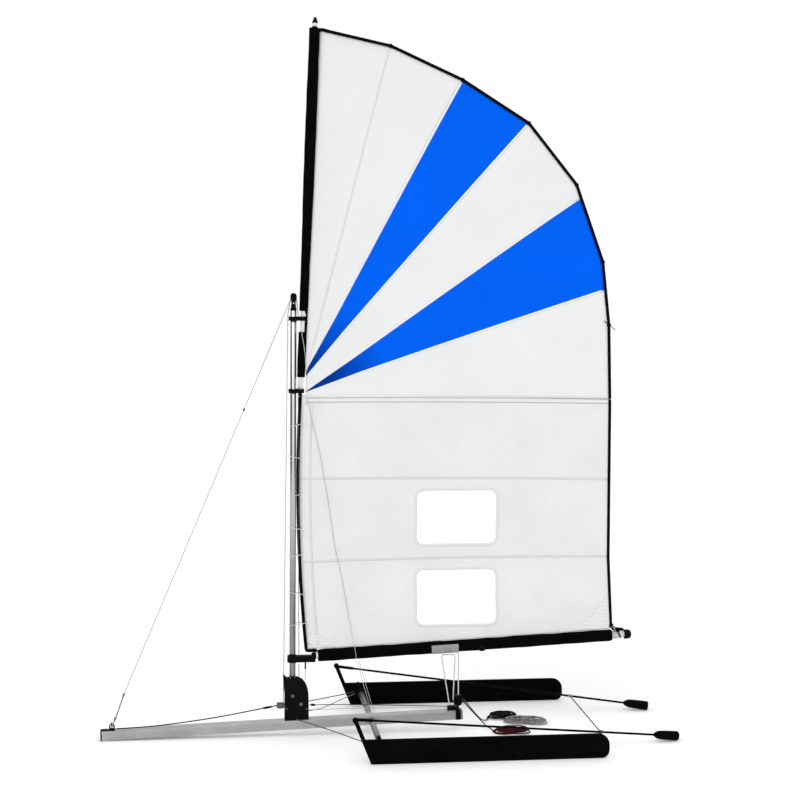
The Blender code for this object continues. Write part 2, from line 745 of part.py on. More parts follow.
def make_bar_caps():
    front = make_bar_cap("bar_front_cap", 0, 1)
    tab_low = BAR_HEIGHT + GAP
    tab_middle = BAR_NOSE + BAR_AIM * (EYE_TAB_LENGTH / 2) + BAR_UP * (tab_low + EYE_TAB_THICKNESS / 2)
    tab = block(
        "bow_tab", (EYE_TAB_WIDTH, EYE_TAB_THICKNESS, EYE_TAB_LENGTH),
        frame_along(tab_middle, BAR_AIM, (0, 1, 0)),
    )
    boolean(front, tab, "UNION")
    riser_middle = BAR_NOSE + BAR_AIM * (CAP_PLATE / 2) + BAR_UP * (BAR_HEIGHT - GAP)
    riser = block(
        "bow_riser", (EYE_TAB_WIDTH - GAP, 4 * EYE_TAB_THICKNESS / 2, CAP_PLATE - GAP),
        frame_along(riser_middle, BAR_AIM, (0, 1, 0)),
    )
    boolean(front, riser, "UNION")
    eye_middle = bow_eye_centre()
    loops = [circle(EYE_RADIUS, steps=SMALL_STEPS), circle(EYE_HOLE_RADIUS, steps=SMALL_STEPS)]
    eye = prism("bow_eye", loops, EYE_THICKNESS, frame_along(eye_middle, (0, 1, 0), BAR_AIM))
    attach(boolean(front, eye, "UNION"), BLACK_PLASTIC, STATION)
    attach(make_bar_cap("bar_aft_cap", BAR_LENGTH, -1), GREY_SHEAVE, STATION)


def bow_eye_centre():
    along = EYE_TAB_LENGTH - EYE_RADIUS
    return BAR_NOSE + BAR_AIM * along + BAR_UP * (BAR_HEIGHT + GAP + EYE_TAB_THICKNESS / 2 + EYE_RADIUS)


def make_crossbar():
    reach = Vector((0, BOARD_Y - BOARD_THICKNESS / 2 - 2 * GAP, 0))
    attach(pipe("crossbar", PIVOT - reach, PIVOT + reach, CROSSBAR_RADIUS, CROSSBAR_WALL), ALUMINIUM, STATION)


def make_crossbar_hub(name, side):
    """The clamp ring that holds a leeboard's stub in the crossbar, with its leaning knob."""
    outer_face = BOARD_Y - BOARD_THICKNESS / 2 - GAP
    middle = PIVOT + Vector((0, side * (outer_face - HUB_WIDTH / 2), 0))
    loops = [circle(HUB_RADIUS), circle(CROSSBAR_RADIUS + GAP)]
    hub = prism(name, loops, HUB_WIDTH, frame_along(middle, (0, 1, 0), (1, 0, 0)))
    lean = Vector((-math.sin(HUB_KNOB_LEAN), 0, math.cos(HUB_KNOB_LEAN)))
    start = middle + lean * (HUB_RADIUS - OVERRUN)
    boolean(hub, rod(name + "_knob", start, middle + lean * HUB_KNOB_REACH, HUB_KNOB_RADIUS), "UNION")
    attach(hub, BLACK_PLASTIC, STATION)


def board_outline():
    """The board seen from the side, counted from the pivot: X aft, Y up."""
    low = -PIVOT.z
    high = low + BOARD_WIDTH
    slant = math.tan(BOARD_HEAD_SLANT) * BOARD_WIDTH
    low_radius, high_radius = BOARD_TIP_RADII
    points = [(-BOARD_HEAD_REACH - slant, high), (-BOARD_HEAD_REACH, low)]
    for step in range(5):
        angle = math.radians(-90 + 90 * step / 4)
        reach = BOARD_TIP_REACH - low_radius + low_radius * math.cos(angle)
        points.append((reach, low + low_radius + low_radius * math.sin(angle)))
    for step in range(6):
        angle = math.radians(90 * step / 5)
        reach = BOARD_TIP_REACH - high_radius + high_radius * math.cos(angle)
        points.append((reach, high - high_radius + high_radius * math.sin(angle)))
    return points


def make_leeboard(name, side, hub):
    """A plank with its lever and the stub that turns in the crossbar's end."""
    centre = PIVOT + Vector((0, side * BOARD_Y, 0))
    frame = frame_along(centre, (0, -1, 0), (1, 0, 0))
    board = prism(name, [board_outline()], BOARD_THICKNESS, frame)
    round_edges(board, BOARD_EDGE, 1)
    down = Vector((math.tan(BOARD_HEAD_SLANT), 0, -1)).normalized()
    top = LEVER_TOP + Vector((0, side * BOARD_Y, 0))
    length = (LEVER_TOP.z - BOARD_WIDTH / 2) / -down.z
    outline = [
        (0.0, -LEVER_WIDTH / 2), (length, -LEVER_WIDTH / 2), (length, LEVER_WIDTH / 2), (0.0, LEVER_WIDTH / 2)
    ]
    lever = prism(name + "_lever", [outline], LEVER_THICKNESS, frame_along(top, (0, 1, 0), down))
    eye = prism(
        name + "_lever_eye", [circle(LEVER_EYE_RADIUS, steps=SMALL_STEPS)], LEVER_THICKNESS,
        frame_along(top, (0, 1, 0), down),
    )
    boolean(board, lever, "UNION")
    boolean(board, eye, "UNION")
    through = Vector((0, LEVER_THICKNESS / 2 + OVERRUN, 0))
    boolean(board, rod(name + "_pin_hole", top - through, top + through, ROD_PIN_RADIUS + GAP))
    inner = centre - Vector((0, side * (BOARD_THICKNESS / 2 - OVERRUN / 2), 0))
    stub_radius = CROSSBAR_RADIUS - CROSSBAR_WALL - RUNNING_CLEARANCE
    boolean(
        board, rod(name + "_stub", inner, inner - Vector((0, side * STUB_LENGTH, 0)), stub_radius), "UNION"
    )
    attach(board, BLACK_PAINT, hub)


def make_push_rod(name, side, hub):
    """The rod, thick in its front socket, with the eye and the pin that join it to the lever."""
    start, end = rod_line(side)
    aim = (end - start).normalized()
    inner_end = end - aim * (GRIP_LENGTH - GRIP_BORE_DEPTH + 2 * GAP)
    length = (inner_end - start).length
    profile = [
        (0, length), (ROD_RADIUS, length), (ROD_RADIUS, ROD_SOCKET_LENGTH),
        (ROD_SOCKET_RADIUS, ROD_SOCKET_LENGTH - OVERRUN / 2), (ROD_SOCKET_RADIUS, 0), (0, 0),
    ]
    bar = turned(name, profile, frame_along(start, aim, (0.02, 1, 0)), SMALL_STEPS)
    eye = prism(
        name + "_eye", [circle(ROD_EYE_RADIUS, steps=SMALL_STEPS)], ROD_EYE_THICKNESS,
        frame_along(start, (0, 1, 0), aim),
    )
    boolean(bar, eye, "UNION")
    pin_end = Vector((start.x, side * (BOARD_Y + LEVER_THICKNESS / 2), start.z))
    boolean(bar, rod(name + "_pin", start, pin_end, ROD_PIN_RADIUS), "UNION")
    attach(bar, BLACK_PAINT, hub)


def make_grip(name, side, hub):
    """A tapered handle with a blind bore for the rod."""
    start, end = rod_line(side)
    aim = (end - start).normalized()
    neck = GRIP_LENGTH * 0.22
    bore = ROD_RADIUS + GAP
    profile = [
        (0, GRIP_LENGTH), (GRIP_RADIUS * 0.82, GRIP_LENGTH),
        (GRIP_RADIUS * 0.96, GRIP_LENGTH - GRIP_SHOULDER / 4), (GRIP_RADIUS, GRIP_LENGTH - GRIP_SHOULDER),
        (GRIP_RADIUS * 0.97, GRIP_LENGTH / 2), (GRIP_RADIUS * 0.90, neck), (GRIP_RADIUS * 0.62, neck / 3),
        (GRIP_NECK_RADIUS, 0),
        (bore, 0), (bore, GRIP_BORE_DEPTH), (0, GRIP_BORE_DEPTH),
    ]
    attach(
        turned(name, profile, frame_along(end - aim * GRIP_LENGTH, aim, (0.02, 1, 0)), SMALL_STEPS),
        BLACK_PLASTIC, hub,
    )


def make_boards():
    for side, word in ((-1, "near"), (1, "far")):
        board_hub = make_hub(f"leeboard_pivot_{word}", PIVOT + Vector((0, side * BOARD_Y, 0)), STATION)
        make_crossbar_hub(f"crossbar_hub_{word}", side)
        make_leeboard(f"leeboard_{word}", side, board_hub)
        rod_hub = make_hub(f"rod_pivot_{word}", LEVER_TOP + Vector((0, side * BOARD_Y, 0)), board_hub)
        make_push_rod(f"push_rod_{word}", side, rod_hub)
        make_grip(f"grip_{word}", side, rod_hub)
        if side < 0:
            make_rod_tie(rod_hub)


def make_rod_tie(hub):
    """The cord between the rods. It ends at each rod's inner side."""
    ends = []
    for side in (-1, 1):
        start, end = rod_line(side)
        ends.append(start.lerp(end, ROD_TIE_SHARE) - Vector((0, side * (ROD_RADIUS + 2 * GAP), 0)))
    attach(rope("rod_tie", ends, ROD_TIE_RADIUS), GREY_ROPE, hub)


def heel_top():
    return BAR_TOP_AT_MAST + HEEL_HEIGHT


def make_mast_foot():
    for side, word in ((-1, "near"), (1, "far")):
        width = CHEEK_FORWARD + CHEEK_AFT
        outline = []
        for share_x, share_z in CHEEK_OUTLINE_SHARES:
            x = -CHEEK_FORWARD + share_x * width
            outline.append((x, bar_z(x, BAR_HEIGHT) + GAP + share_z * CHEEK_HEIGHT))
        holes = [
            circle(BOLT_RADIUS + GAP, (0, BAR_TOP_AT_MAST + PIVOT_BOLT_HEIGHT), SMALL_STEPS),
            circle(BOLT_RADIUS + GAP, (LOCK_BOLT_AFT, BAR_TOP_AT_MAST + LOCK_BOLT_HEIGHT), SMALL_STEPS),
        ]
        y = side * (MAST_RADIUS + 2 * GAP + CHEEK_THICKNESS / 2)
        cheek = prism(
            f"foot_cheek_{word}", [outline] + holes, CHEEK_THICKNESS,
            frame_along((0, y, 0), (0, -1, 0), (1, 0, 0)),
        )
        attach(cheek, BLACK_PLASTIC, STATION)
    outline = []
    corners = ((-HEEL_FORWARD, 0), (HEEL_AFT, 0), (HEEL_AFT, HEEL_HEIGHT), (-HEEL_FORWARD, HEEL_HEIGHT))
    for x, height in corners:
        base = bar_z(x, BAR_HEIGHT) + GAP
        outline.append((x, base if height == 0 else heel_top()))
    heel = prism(
        "mast_heel", [outline], 2 * (MAST_RADIUS + GAP), frame_along((0, 0, 0), (0, -1, 0), (1, 0, 0))
    )
    attach(heel, BLACK_PLASTIC, STATION)
    make_foot_bolt("mast_pivot_bolt", 0, PIVOT_BOLT_HEIGHT)
    make_foot_bolt("mast_lock_bolt", LOCK_BOLT_AFT, LOCK_BOLT_HEIGHT)


def make_foot_bolt(name, x, height):
    """A bolt through both cheeks, with its head and its nut."""
    face = MAST_RADIUS + 3 * GAP + CHEEK_THICKNESS
    end = face + BOLT_HEAD_HEIGHT
    profile = [
        (0, end), (BOLT_HEAD_RADIUS, end), (BOLT_HEAD_RADIUS, face), (BOLT_RADIUS, face),
        (BOLT_RADIUS, -face), (BOLT_HEAD_RADIUS, -face), (BOLT_HEAD_RADIUS, -end), (0, -end),
    ]
    frame = frame_along((x, 0, BAR_TOP_AT_MAST + height), (0, 1, 0), (1, 0, 0))
    attach(turned(name, profile, frame, SMALL_STEPS), STEEL, STATION)


def make_mast():
    start = Vector((0, 0, heel_top() + GAP))
    mast = pipe("mast_tube", start, (0, 0, MAST_TOP), MAST_RADIUS, MAST_WALL)
    height = BAR_TOP_AT_MAST + PIVOT_BOLT_HEIGHT
    reach = MAST_RADIUS + OVERRUN
    boolean(mast, rod("mast_bolt_hole", (0, -reach, height), (0, reach, height), BOLT_RADIUS + GAP))
    attach(mast, ALUMINIUM, STATION)


def head_sheave_centre():
    return Vector((0, 0, MAST_TOP + GAP + HEAD_PLATE_HEIGHT - HEAD_PLATE_WIDTH / 2))


def make_masthead():
    """Two waisted plates on a plug in the mast, with a sheave between them."""
    base = MAST_TOP + GAP
    bore = MAST_RADIUS - MAST_WALL - GAP
    profile = [
        (0, base + HEAD_BASE_HEIGHT), (MAST_RADIUS, base + HEAD_BASE_HEIGHT), (MAST_RADIUS, base),
        (bore, base), (bore, base - HEAD_SPIGOT), (0, base - HEAD_SPIGOT),
    ]
    head = turned("masthead_fitting", profile, Matrix.Identity(4), SMALL_STEPS)
    half, waist, top = HEAD_PLATE_WIDTH / 2, HEAD_PLATE_WAIST / 2, base + HEAD_PLATE_HEIGHT
    low = base + HEAD_BASE_HEIGHT - OVERRUN / 2
    middle = low + (top - low) * 0.36
    outline = [(-half * 0.86, low), (half * 0.86, low), (waist, middle)]
    angles = [math.radians(degrees) for degrees in range(-20, 201, 20)]
    outline += [(half * math.cos(angle), top - half + half * math.sin(angle)) for angle in angles]
    outline += [(-waist, middle)]
    eye = circle(SHEAVE_PIN_RADIUS, (0, middle), SMALL_STEPS)
    for side, word in ((-1, "near"), (1, "far")):
        y = side * (HEAD_SLOT / 2 + HEAD_PLATE_THICKNESS / 2)
        plate = prism(
            f"masthead_plate_{word}", [outline, eye], HEAD_PLATE_THICKNESS,
            frame_along((0, y, 0), (0, -1, 0), (1, 0, 0)),
        )
        boolean(head, plate, "UNION")
    centre = head_sheave_centre()
    reach = Vector((0, HEAD_SLOT / 2 + HEAD_PLATE_THICKNESS / 2, 0))
    boolean(head, rod("masthead_pin", centre - reach, centre + reach, SHEAVE_PIN_RADIUS), "UNION")
    attach(head, BLACK_PLASTIC, STATION)
    sheave_hub = make_hub("masthead_sheave_axis", centre, STATION)
    make_sheave("masthead_sheave", centre, HEAD_SHEAVE_RADIUS, HEAD_SHEAVE_WIDTH, sheave_hub)


def make_sheave(name, centre, radius, width, hub):
    """A grooved wheel on its pin, its axis along Y."""
    half = width / 2
    groove = radius * 0.80
    bore = SHEAVE_PIN_RADIUS + RUNNING_CLEARANCE
    profile = [(radius, half), (groove, 0), (radius, -half), (bore, -half), (bore, half)]
    attach(
        turned(name, profile, frame_along(centre, (0, 1, 0), (1, 0, 0)), SMALL_STEPS, ring=True), GREY_SHEAVE,
        hub,
    )


def fairlead_centre():
    x = -CHEEK_FORWARD - GAP - FAIRLEAD_LENGTH / 2
    return Vector((x, 0, BAR_TOP_AT_MAST + FAIRLEAD_RISE))


def make_fairlead():
    """The little block in front of the cheeks where the halyard and the control line meet."""
    centre = fairlead_centre()
    outline = rectangle(FAIRLEAD_LENGTH, FAIRLEAD_HEIGHT, FAIRLEAD_HEIGHT / 3)
    lead = prism("foot_fairlead", [outline], FAIRLEAD_THICKNESS, frame_along(centre, (0, -1, 0), (1, 0, 0)))
    front, back = centre.x + FAIRLEAD_LENGTH / 4, -MAST_RADIUS - RUNNING_CLEARANCE
    tongue_size = (back - front, 2 * (MAST_RADIUS + GAP), FAIRLEAD_HEIGHT / 3)
    tongue = block("fairlead_tongue", tongue_size, Matrix.Translation(((front + back) / 2, 0, centre.z)))
    attach(boolean(lead, tongue, "UNION"), GREY_SHEAVE, STATION)


def strap_top():
    return BAR_HEIGHT + GAP + STRAP_THICKNESS


def block_centre():
    return bar_at(STRAP_X, 0, strap_top() + STRAP_POST_HEIGHT + BLOCK_HEIGHT / 2)


def sheet_sheave_centre():
    return block_centre() - BAR_AIM * (BLOCK_LENGTH * 0.22) + BAR_UP * (BLOCK_HEIGHT * 0.14)


def saddle_outline():
    """The strap seen along the bar: over its top and down both sides, so that the underside stays flat."""
    inner, top = BAR_WIDTH / 2 + GAP, BAR_HEIGHT / 2 + GAP
    outer, crown = inner + STRAP_THICKNESS, top + STRAP_THICKNESS
    low = 2 * GAP - BAR_HEIGHT / 2
    points = [(-outer, low), (-inner, low), (-inner, top), (inner, top), (inner, low), (outer, low)]
    for side in (1, -1):
        for step in range(4):
            angle = math.radians(30 * step if side > 0 else 90 + 30 * step)
            points.append((side * (outer - STRAP_CORNER) + STRAP_CORNER * math.cos(angle),
                           crown - STRAP_CORNER + STRAP_CORNER * math.sin(angle)))
    return points


def make_sheet_gear():
    middle = bar_at(STRAP_X, 0, BAR_HEIGHT / 2)
    strap = prism("sheet_strap", [saddle_outline()], STRAP_WIDTH, frame_along(middle, BAR_AIM, (0, 1, 0)))
    post_low = bar_at(STRAP_X, 0, strap_top() - STRAP_THICKNESS / 2)
    boolean(
        strap,
        rod(
            "strap_post", post_low, bar_at(STRAP_X, 0, strap_top() + STRAP_POST_HEIGHT - GAP),
            STRAP_POST_RADIUS,
        ),
        "UNION",
    )
    boolean(strap, make_cleat(), "UNION")
    attach(strap, BLACK_PLASTIC, STATION)
    body = prism(
        "sheet_block", [rectangle(BLOCK_LENGTH, BLOCK_HEIGHT, BLOCK_LENGTH / 3)], BLOCK_THICKNESS,
        frame_along(block_centre(), (0, -1, 0), BAR_AIM),
    )
    slot_height = BLOCK_HEIGHT - 2 * OVERRUN
    slot_middle = block_centre() + BAR_UP * OVERRUN * 1.5
    boolean(
        body,
        block(
            "block_slot", (BLOCK_LENGTH + OVERRUN, BLOCK_SLOT, slot_height),
            frame_along(slot_middle, BAR_UP, BAR_AIM),
        ),
    )
    centre = sheet_sheave_centre()
    reach = Vector((0, BLOCK_SLOT / 2 + BLOCK_THICKNESS / 8, 0))
    boolean(body, rod("block_pin", centre - reach, centre + reach, SHEAVE_PIN_RADIUS), "UNION")
    attach(body, BLACK_PLASTIC, STATION)
    make_sheave(
        "sheet_sheave", centre, BLOCK_SHEAVE_RADIUS, BLOCK_SHEAVE_WIDTH,
        make_hub("sheet_sheave_axis", centre, STATION),
    )


def make_cleat():
    """A grooved clamp on the bar, joined to the strap's front edge."""
    cleat_middle = bar_at(CLEAT_X, 0, BAR_HEIGHT + GAP + CLEAT_HEIGHT / 2)
    half, high, groove = CLEAT_WIDTH / 2, CLEAT_HEIGHT / 2, CLEAT_GROOVE / 2
    section = [
        (-half, -high), (half, -high), (half * 0.8, high), (groove * 1.6, high), (groove * 0.5, -high * 0.1),
        (-groove * 0.5, -high * 0.1), (-groove * 1.6, high), (-half * 0.8, high),
    ]
    return prism("sheet_cleat", [section], CLEAT_LENGTH, frame_along(cleat_middle, BAR_AIM, (0, -1, 0)))


def gooseneck_outline():
    """The ring round the mast and the arm aft of it, seen from above."""
    lean = math.asin(GOOSENECK_ARM_HALF_WIDTH / GOOSENECK_RING_RADIUS)
    points = []
    for step in range(SMALL_STEPS + 1):
        angle = lean + (2 * math.pi - 2 * lean) * step / SMALL_STEPS
        points.append((GOOSENECK_RING_RADIUS * math.cos(angle), GOOSENECK_RING_RADIUS * math.sin(angle)))
    end = BOOM_FRONT - GAP - OVERRUN / 2
    return points + [(end, -GOOSENECK_ARM_HALF_WIDTH), (end, GOOSENECK_ARM_HALF_WIDTH)]


def make_gooseneck():
    middle = Vector((0, 0, GOOSENECK_TOP - GOOSENECK_HEIGHT / 2))
    loops = [gooseneck_outline(), circle(MAST_RADIUS + RUNNING_CLEARANCE)]
    neck = prism("gooseneck", loops, GOOSENECK_HEIGHT, Matrix.Translation(middle))
    socket_start = boom_at(BOOM_FRONT) - BOOM_AIM * (BOOM_RADIUS + OVERRUN)
    end = boom_at(BOOM_FRONT) - BOOM_AIM * GAP
    boolean(neck, rod("gooseneck_socket", socket_start, end, BOOM_RADIUS), "UNION")
    spigot_radius = BOOM_RADIUS - BOOM_WALL - GAP
    boolean(
        neck,
        rod("gooseneck_spigot", socket_start, boom_at(BOOM_FRONT) + BOOM_AIM * BOOM_SPIGOT, spigot_radius),
        "UNION",
    )
    attach(neck, BLACK_PLASTIC, SWING)


def boom_end():
    return boom_at(BOOM_FRONT) + BOOM_AIM * BOOM_LENGTH


def make_boom():
    attach(pipe("boom_tube", boom_at(BOOM_FRONT), boom_end(), BOOM_RADIUS, BOOM_WALL), WHITE_TUBE, SWING)
    up = Vector((-BOOM_AIM.z, 0, BOOM_AIM.x))
    depth = Vector((0, 1, 0))
    outer, inner = [], []
    for share in (0.0, 0.012, 0.5, 0.988, 1.0):
        x = SLEEVE_FRONT + SLEEVE_LENGTH * share
        pinch = 0.9 if share in (0.0, 1.0) else 1.0
        outer.append(
            (boom_at(x), up, depth, sleeve_half_height(x) * pinch, BOOM_SLEEVE_HALF_THICKNESS * pinch)
        )
    for share in (0.0, 1.0):
        x = SLEEVE_FRONT + SLEEVE_LENGTH * share
        inner.append((boom_at(x), up, depth, BOOM_RADIUS + GAP, BOOM_RADIUS + GAP))
    attach(sleeve("boom_sleeve", outer, inner), BLACK_CLOTH, SWING)
    end = boom_end() + BOOM_AIM * GAP
    bore = BOOM_RADIUS - BOOM_WALL - GAP
    length = BOOM_CAP_LENGTH
    profile = [
        (0, length), (BOOM_CAP_RADIUS * 0.55, length), (BOOM_CAP_RADIUS * 0.88, length * 0.82),
        (BOOM_CAP_RADIUS, length * 0.5),
        (BOOM_CAP_RADIUS, 0), (bore, 0), (bore, -BOOM_SPIGOT), (0, -BOOM_SPIGOT),
    ]
    attach(turned("boom_end_cap", profile, frame_along(end, BOOM_AIM, (0, 1, 0))), BLACK_PLASTIC, SWING)
    make_webbing(up, depth)


def make_webbing(up, depth):
    """The webbing under the boom's sleeve that takes the mainsheet. Its ends are sewn to the sides."""
    ends = (WEBBING_X - WEBBING_LENGTH / 2, WEBBING_X + WEBBING_LENGTH / 2)
    outer, inner = [], []
    for x in ends:
        half, thick = sleeve_half_height(ends[0]) + GAP, BOOM_SLEEVE_HALF_THICKNESS + GAP
        outer.append((boom_at(x), up, depth, half + WEBBING_THICKNESS, thick + WEBBING_THICKNESS))
        inner.append((boom_at(x), up, depth, half, thick))
    band = sleeve("sheet_webbing", outer, inner)
    size = (WEBBING_LENGTH + OVERRUN, 4 * BOOM_SLEEVE_HALF_THICKNESS, BOOM_SLEEVE_HALF_HEIGHTS[0])
    middle = boom_at(WEBBING_X) + up * (BOOM_SLEEVE_HALF_HEIGHTS[0] * WEBBING_TOP_SHARE + size[2] / 2)
    boolean(band, block("webbing_opening", size, frame_along(middle, up, BOOM_AIM)))
    attach(band, GREY_WEBBING, SWING)


def webbing_underside(x):
    depth = sleeve_half_height(WEBBING_X - WEBBING_LENGTH / 2) + GAP + WEBBING_THICKNESS
    return boom_z(x) - depth / math.cos(BOOM_RISE)


def make_gaff():
    attach(pipe("gaff_tube", gaff_at(0), gaff_at(GAFF_LENGTH), GAFF_RADIUS, GAFF_WALL), WHITE_TUBE, HOIST)
    side = Vector((GAFF_AIM.z, 0, -GAFF_AIM.x))
    depth = Vector((0, 1, 0))
    outer, inner = [], []
    for share in (0.0, 0.4, 1.0):
        along = GAFF_SLEEVE_FROM + (GAFF_LENGTH - GAFF_SLEEVE_FROM) * share
        half = GAFF_SLEEVE_HALF_WIDTHS[0] + (GAFF_SLEEVE_HALF_WIDTHS[1] - GAFF_SLEEVE_HALF_WIDTHS[0]) * share
        outer.append((gaff_at(along), side, depth, half, GAFF_SLEEVE_HALF_THICKNESS))
    for along in (GAFF_SLEEVE_FROM, GAFF_LENGTH):
        inner.append((gaff_at(along), side, depth, GAFF_RADIUS + GAP, GAFF_RADIUS + GAP))
    cover = sleeve("gaff_sleeve", outer, inner)
    width = GAFF_SLEEVE_HALF_WIDTHS[1] + OVERRUN + CUTOUT_BACK
    middle = gaff_at(CUTOUT_FROM + CUTOUT_HEIGHT / 2) + side * (CUTOUT_BACK - width / 2)
    opening = block(
        "collar_cutout", (width, 4 * GAFF_SLEEVE_HALF_THICKNESS, CUTOUT_HEIGHT),
        frame_along(middle, GAFF_AIM, side),
    )
    attach(boolean(cover, opening), BLACK_CLOTH, HOIST)
    make_collar("gaff_collar_lower", collar_middle(0), True)
    make_collar("gaff_collar_upper", collar_middle(COLLAR_RISE), False)
    make_gaff_cap(side)


def collar_middle(rise):
    return GAFF_FOOT_Z - COLLAR_FLOOR + rise + COLLAR_HEIGHT / 2


def make_collar(name, z, plugged):
    """A plate with a ring round the mast and one round the gaff. The lower one has a floor and a plug.

    The upper one's gaff ring is open aft, where the sleeve's narrow strip passes."""
    distance = gaff_x(z)
    mast_bore = MAST_RADIUS + RUNNING_CLEARANCE
    gaff_bore = GAFF_RADIUS + GAFF_BORE_CLEARANCE
    outline = two_circle_hull(mast_bore + COLLAR_RING, gaff_bore + COLLAR_RING * 0.6, distance)
    loops = [outline, circle(mast_bore), circle(gaff_bore, (distance, 0))]
    collar = prism(name, loops, COLLAR_HEIGHT, Matrix.Translation((0, 0, z)))
    if not plugged:
        width = gaff_bore + COLLAR_RING
        middle = Vector((distance + CUTOUT_BACK - 2 * GAP + width / 2, 0, z))
        boolean(
            collar,
            block(name + "_mouth", (width, 2 * width, COLLAR_HEIGHT + OVERRUN), Matrix.Translation(middle)),
        )
    if plugged:
        floor_radius = gaff_bore + COLLAR_RING * 0.3
        top = -GAP - GAFF_RADIUS * GAFF_AIM.x
        base = -COLLAR_FLOOR * 0.9
        end = -COLLAR_FLOOR - PLUG_HEIGHT
        profile = [
            (0, top), (floor_radius, top), (floor_radius, base), (PLUG_RADIUS, base), (PLUG_RADIUS, end),
            (0, end),
        ]
        plug = turned(name + "_plug", profile, Matrix.Translation((distance, 0, GAFF_FOOT_Z)), SMALL_STEPS)
        boolean(collar, plug, "UNION")
    attach(collar, BLACK_PLASTIC, HOIST)


def make_gaff_cap(side):
    """The plug, neck and small pointed plate at the gaff's head."""
    bore = GAFF_RADIUS - GAFF_WALL - GAP
    profile = [
        (0, GAFF_CAP_PLATE + GAFF_CAP_NECK), (GAFF_CAP_NECK_RADIUS, GAFF_CAP_PLATE + GAFF_CAP_NECK),
        (GAFF_CAP_NECK_RADIUS, GAFF_CAP_PLATE),
        (GAFF_RADIUS, GAFF_CAP_PLATE), (GAFF_RADIUS, 0), (bore, 0), (bore, -BOOM_SPIGOT), (0, -BOOM_SPIGOT),
    ]
    top = gaff_at(GAFF_LENGTH + GAP)
    cap = turned("gaff_head_cap", profile, frame_along(top, GAFF_AIM, side), SMALL_STEPS)
    base = GAFF_CAP_PLATE + GAFF_CAP_NECK - OVERRUN / 2
    low, high = GAFF_CAP_WIDTHS
    outline = [
        (-low / 2, base), (low / 2, base), (high / 2, base + GAFF_CAP_TOP), (-high / 2, base + GAFF_CAP_TOP)
    ]
    frame = frame_along(top, (0, -1, 0), side)
    boolean(cap, prism("gaff_head_plate", [outline], GAFF_CAP_THICKNESS, frame), "UNION")
    attach(cap, BLACK_PLASTIC, HOIST)


def leech_run(first, last):
    """Points down the fan's outline from first to last, with the corners that lie between them."""
    clear = FAN_COLUMN / 3
    corners = [point for point in LEECH_POINTS if last.z + clear < point.z < first.z - clear]
    marks = [first] + corners + [last]
    points = []
    for high, low in zip(marks, marks[1:]):
        count = max(1, round((low - high).length / FAN_COLUMN))
        points += [high.lerp(low, step / count) for step in range(count)]
    return points + [last]


def make_fan_panel(name, feet, ends, material):
    """One gore of the fan: straight runs from its short edge at the gaff to its long edge at the leech.

    A corner starts at the sleeve itself, or a little way off where there is no sleeve or no short edge."""
    outer = leech_run(*ends)
    starts = [0 if foot.z > SLEEVE_BACK_LOW.z and feet[0] != feet[1] else THROAT_START for foot in feet]
    columns = []
    for index, target in enumerate(outer):
        share = index / (len(outer) - 1)
        foot = feet[0].lerp(feet[1], share)
        start = starts[0] + (starts[1] - starts[0]) * share
        ray = (target - foot).normalized()
        inward = Vector((ray.z, 0, -ray.x)) * SEAM_GAP / 2
        if index == 0:
            foot = foot + inward
        if index == len(outer) - 1:
            foot = foot - inward
        reach = leech_hit(foot, ray, LEECH_RADIUS + GAP)
        column = []
        for step in range(FAN_STEPS + 1):
            point = foot + ray * (start + (reach - start) * step / FAN_STEPS)
            column.append(on_sail(point.x, point.z))
        columns.append(column)
    attach(cloth(name, columns, CLOTH), material, HOIST)


def make_fan():
    feet = [sleeve_back_at(THROAT_Z + share * FAN_HEIGHT) for share in FAN_FOOT_SHARES]
    feet = feet[:1] + feet + [THROAT]
    ends = [SLEEVE_BACK_TOP] + [from_throat(*shares) for shares in FAN_SEAM_SHARES] + [THROAT_END]
    gores = (
        ("fan_white_luff", WHITE_SAIL), ("fan_blue_upper", BLUE_SAIL), ("fan_white_middle", WHITE_SAIL),
        ("fan_blue_lower", BLUE_SAIL), ("fan_white_leech", WHITE_SAIL),
    )
    for index, (name, material) in enumerate(gores):
        make_fan_panel(name, feet[index:index + 2], ends[index:index + 2], material)
    cord = LEECH_POINTS[:-1] + [THROAT_END + Vector((0, 0, GAP))]
    attach(rope("leech_cord_upper", cord, LEECH_RADIUS), BLACK_ROPE, HOIST)


def lower_sail_rows(columns, rows):
    """A grid over the lower sail. One of its rows runs to the leech's corner."""
    corner = (LEECH_LOWER_Z - foot_z(CLEW_X)) / (THROAT_END.z - foot_z(CLEW_X))
    low_rows = max(1, round(rows * corner))
    shares = [corner * row / low_rows for row in range(low_rows)]
    shares += [corner + (1 - corner) * row / (rows - low_rows) for row in range(rows - low_rows + 1)]
    grid = []
    for v in shares:
        line = []
        for column in range(columns + 1):
            u = column / columns
            x = luff_x(THROAT.z) + (LEECH_LOWER_X - luff_x(THROAT.z)) * u
            for _ in range(4):
                low = foot_z(x)
                z = low + (throat_seam_z(x) - SEAM_GAP - low) * v
                left = luff_x(z) + max(LUFF_RADIUS, PLUG_RADIUS) + 3 * GAP
                x = left + (leech_x(z) - LEECH_RADIUS - 2 * GAP - left) * u
            line.append(on_sail(x, z))
        grid.append(line)
    return grid


def window_prism(name, low_z, margin):
    centre = Vector((WINDOW_X + WINDOW_WIDTH / 2, CAMBER / 2, low_z + WINDOW_HEIGHT / 2))
    outline = rectangle(WINDOW_WIDTH - 2 * margin, WINDOW_HEIGHT - 2 * margin, WINDOW_CORNER - margin)
    return prism(name, [outline], 3 * CAMBER, frame_along(centre, (0, -1, 0), (1, 0, 0)))


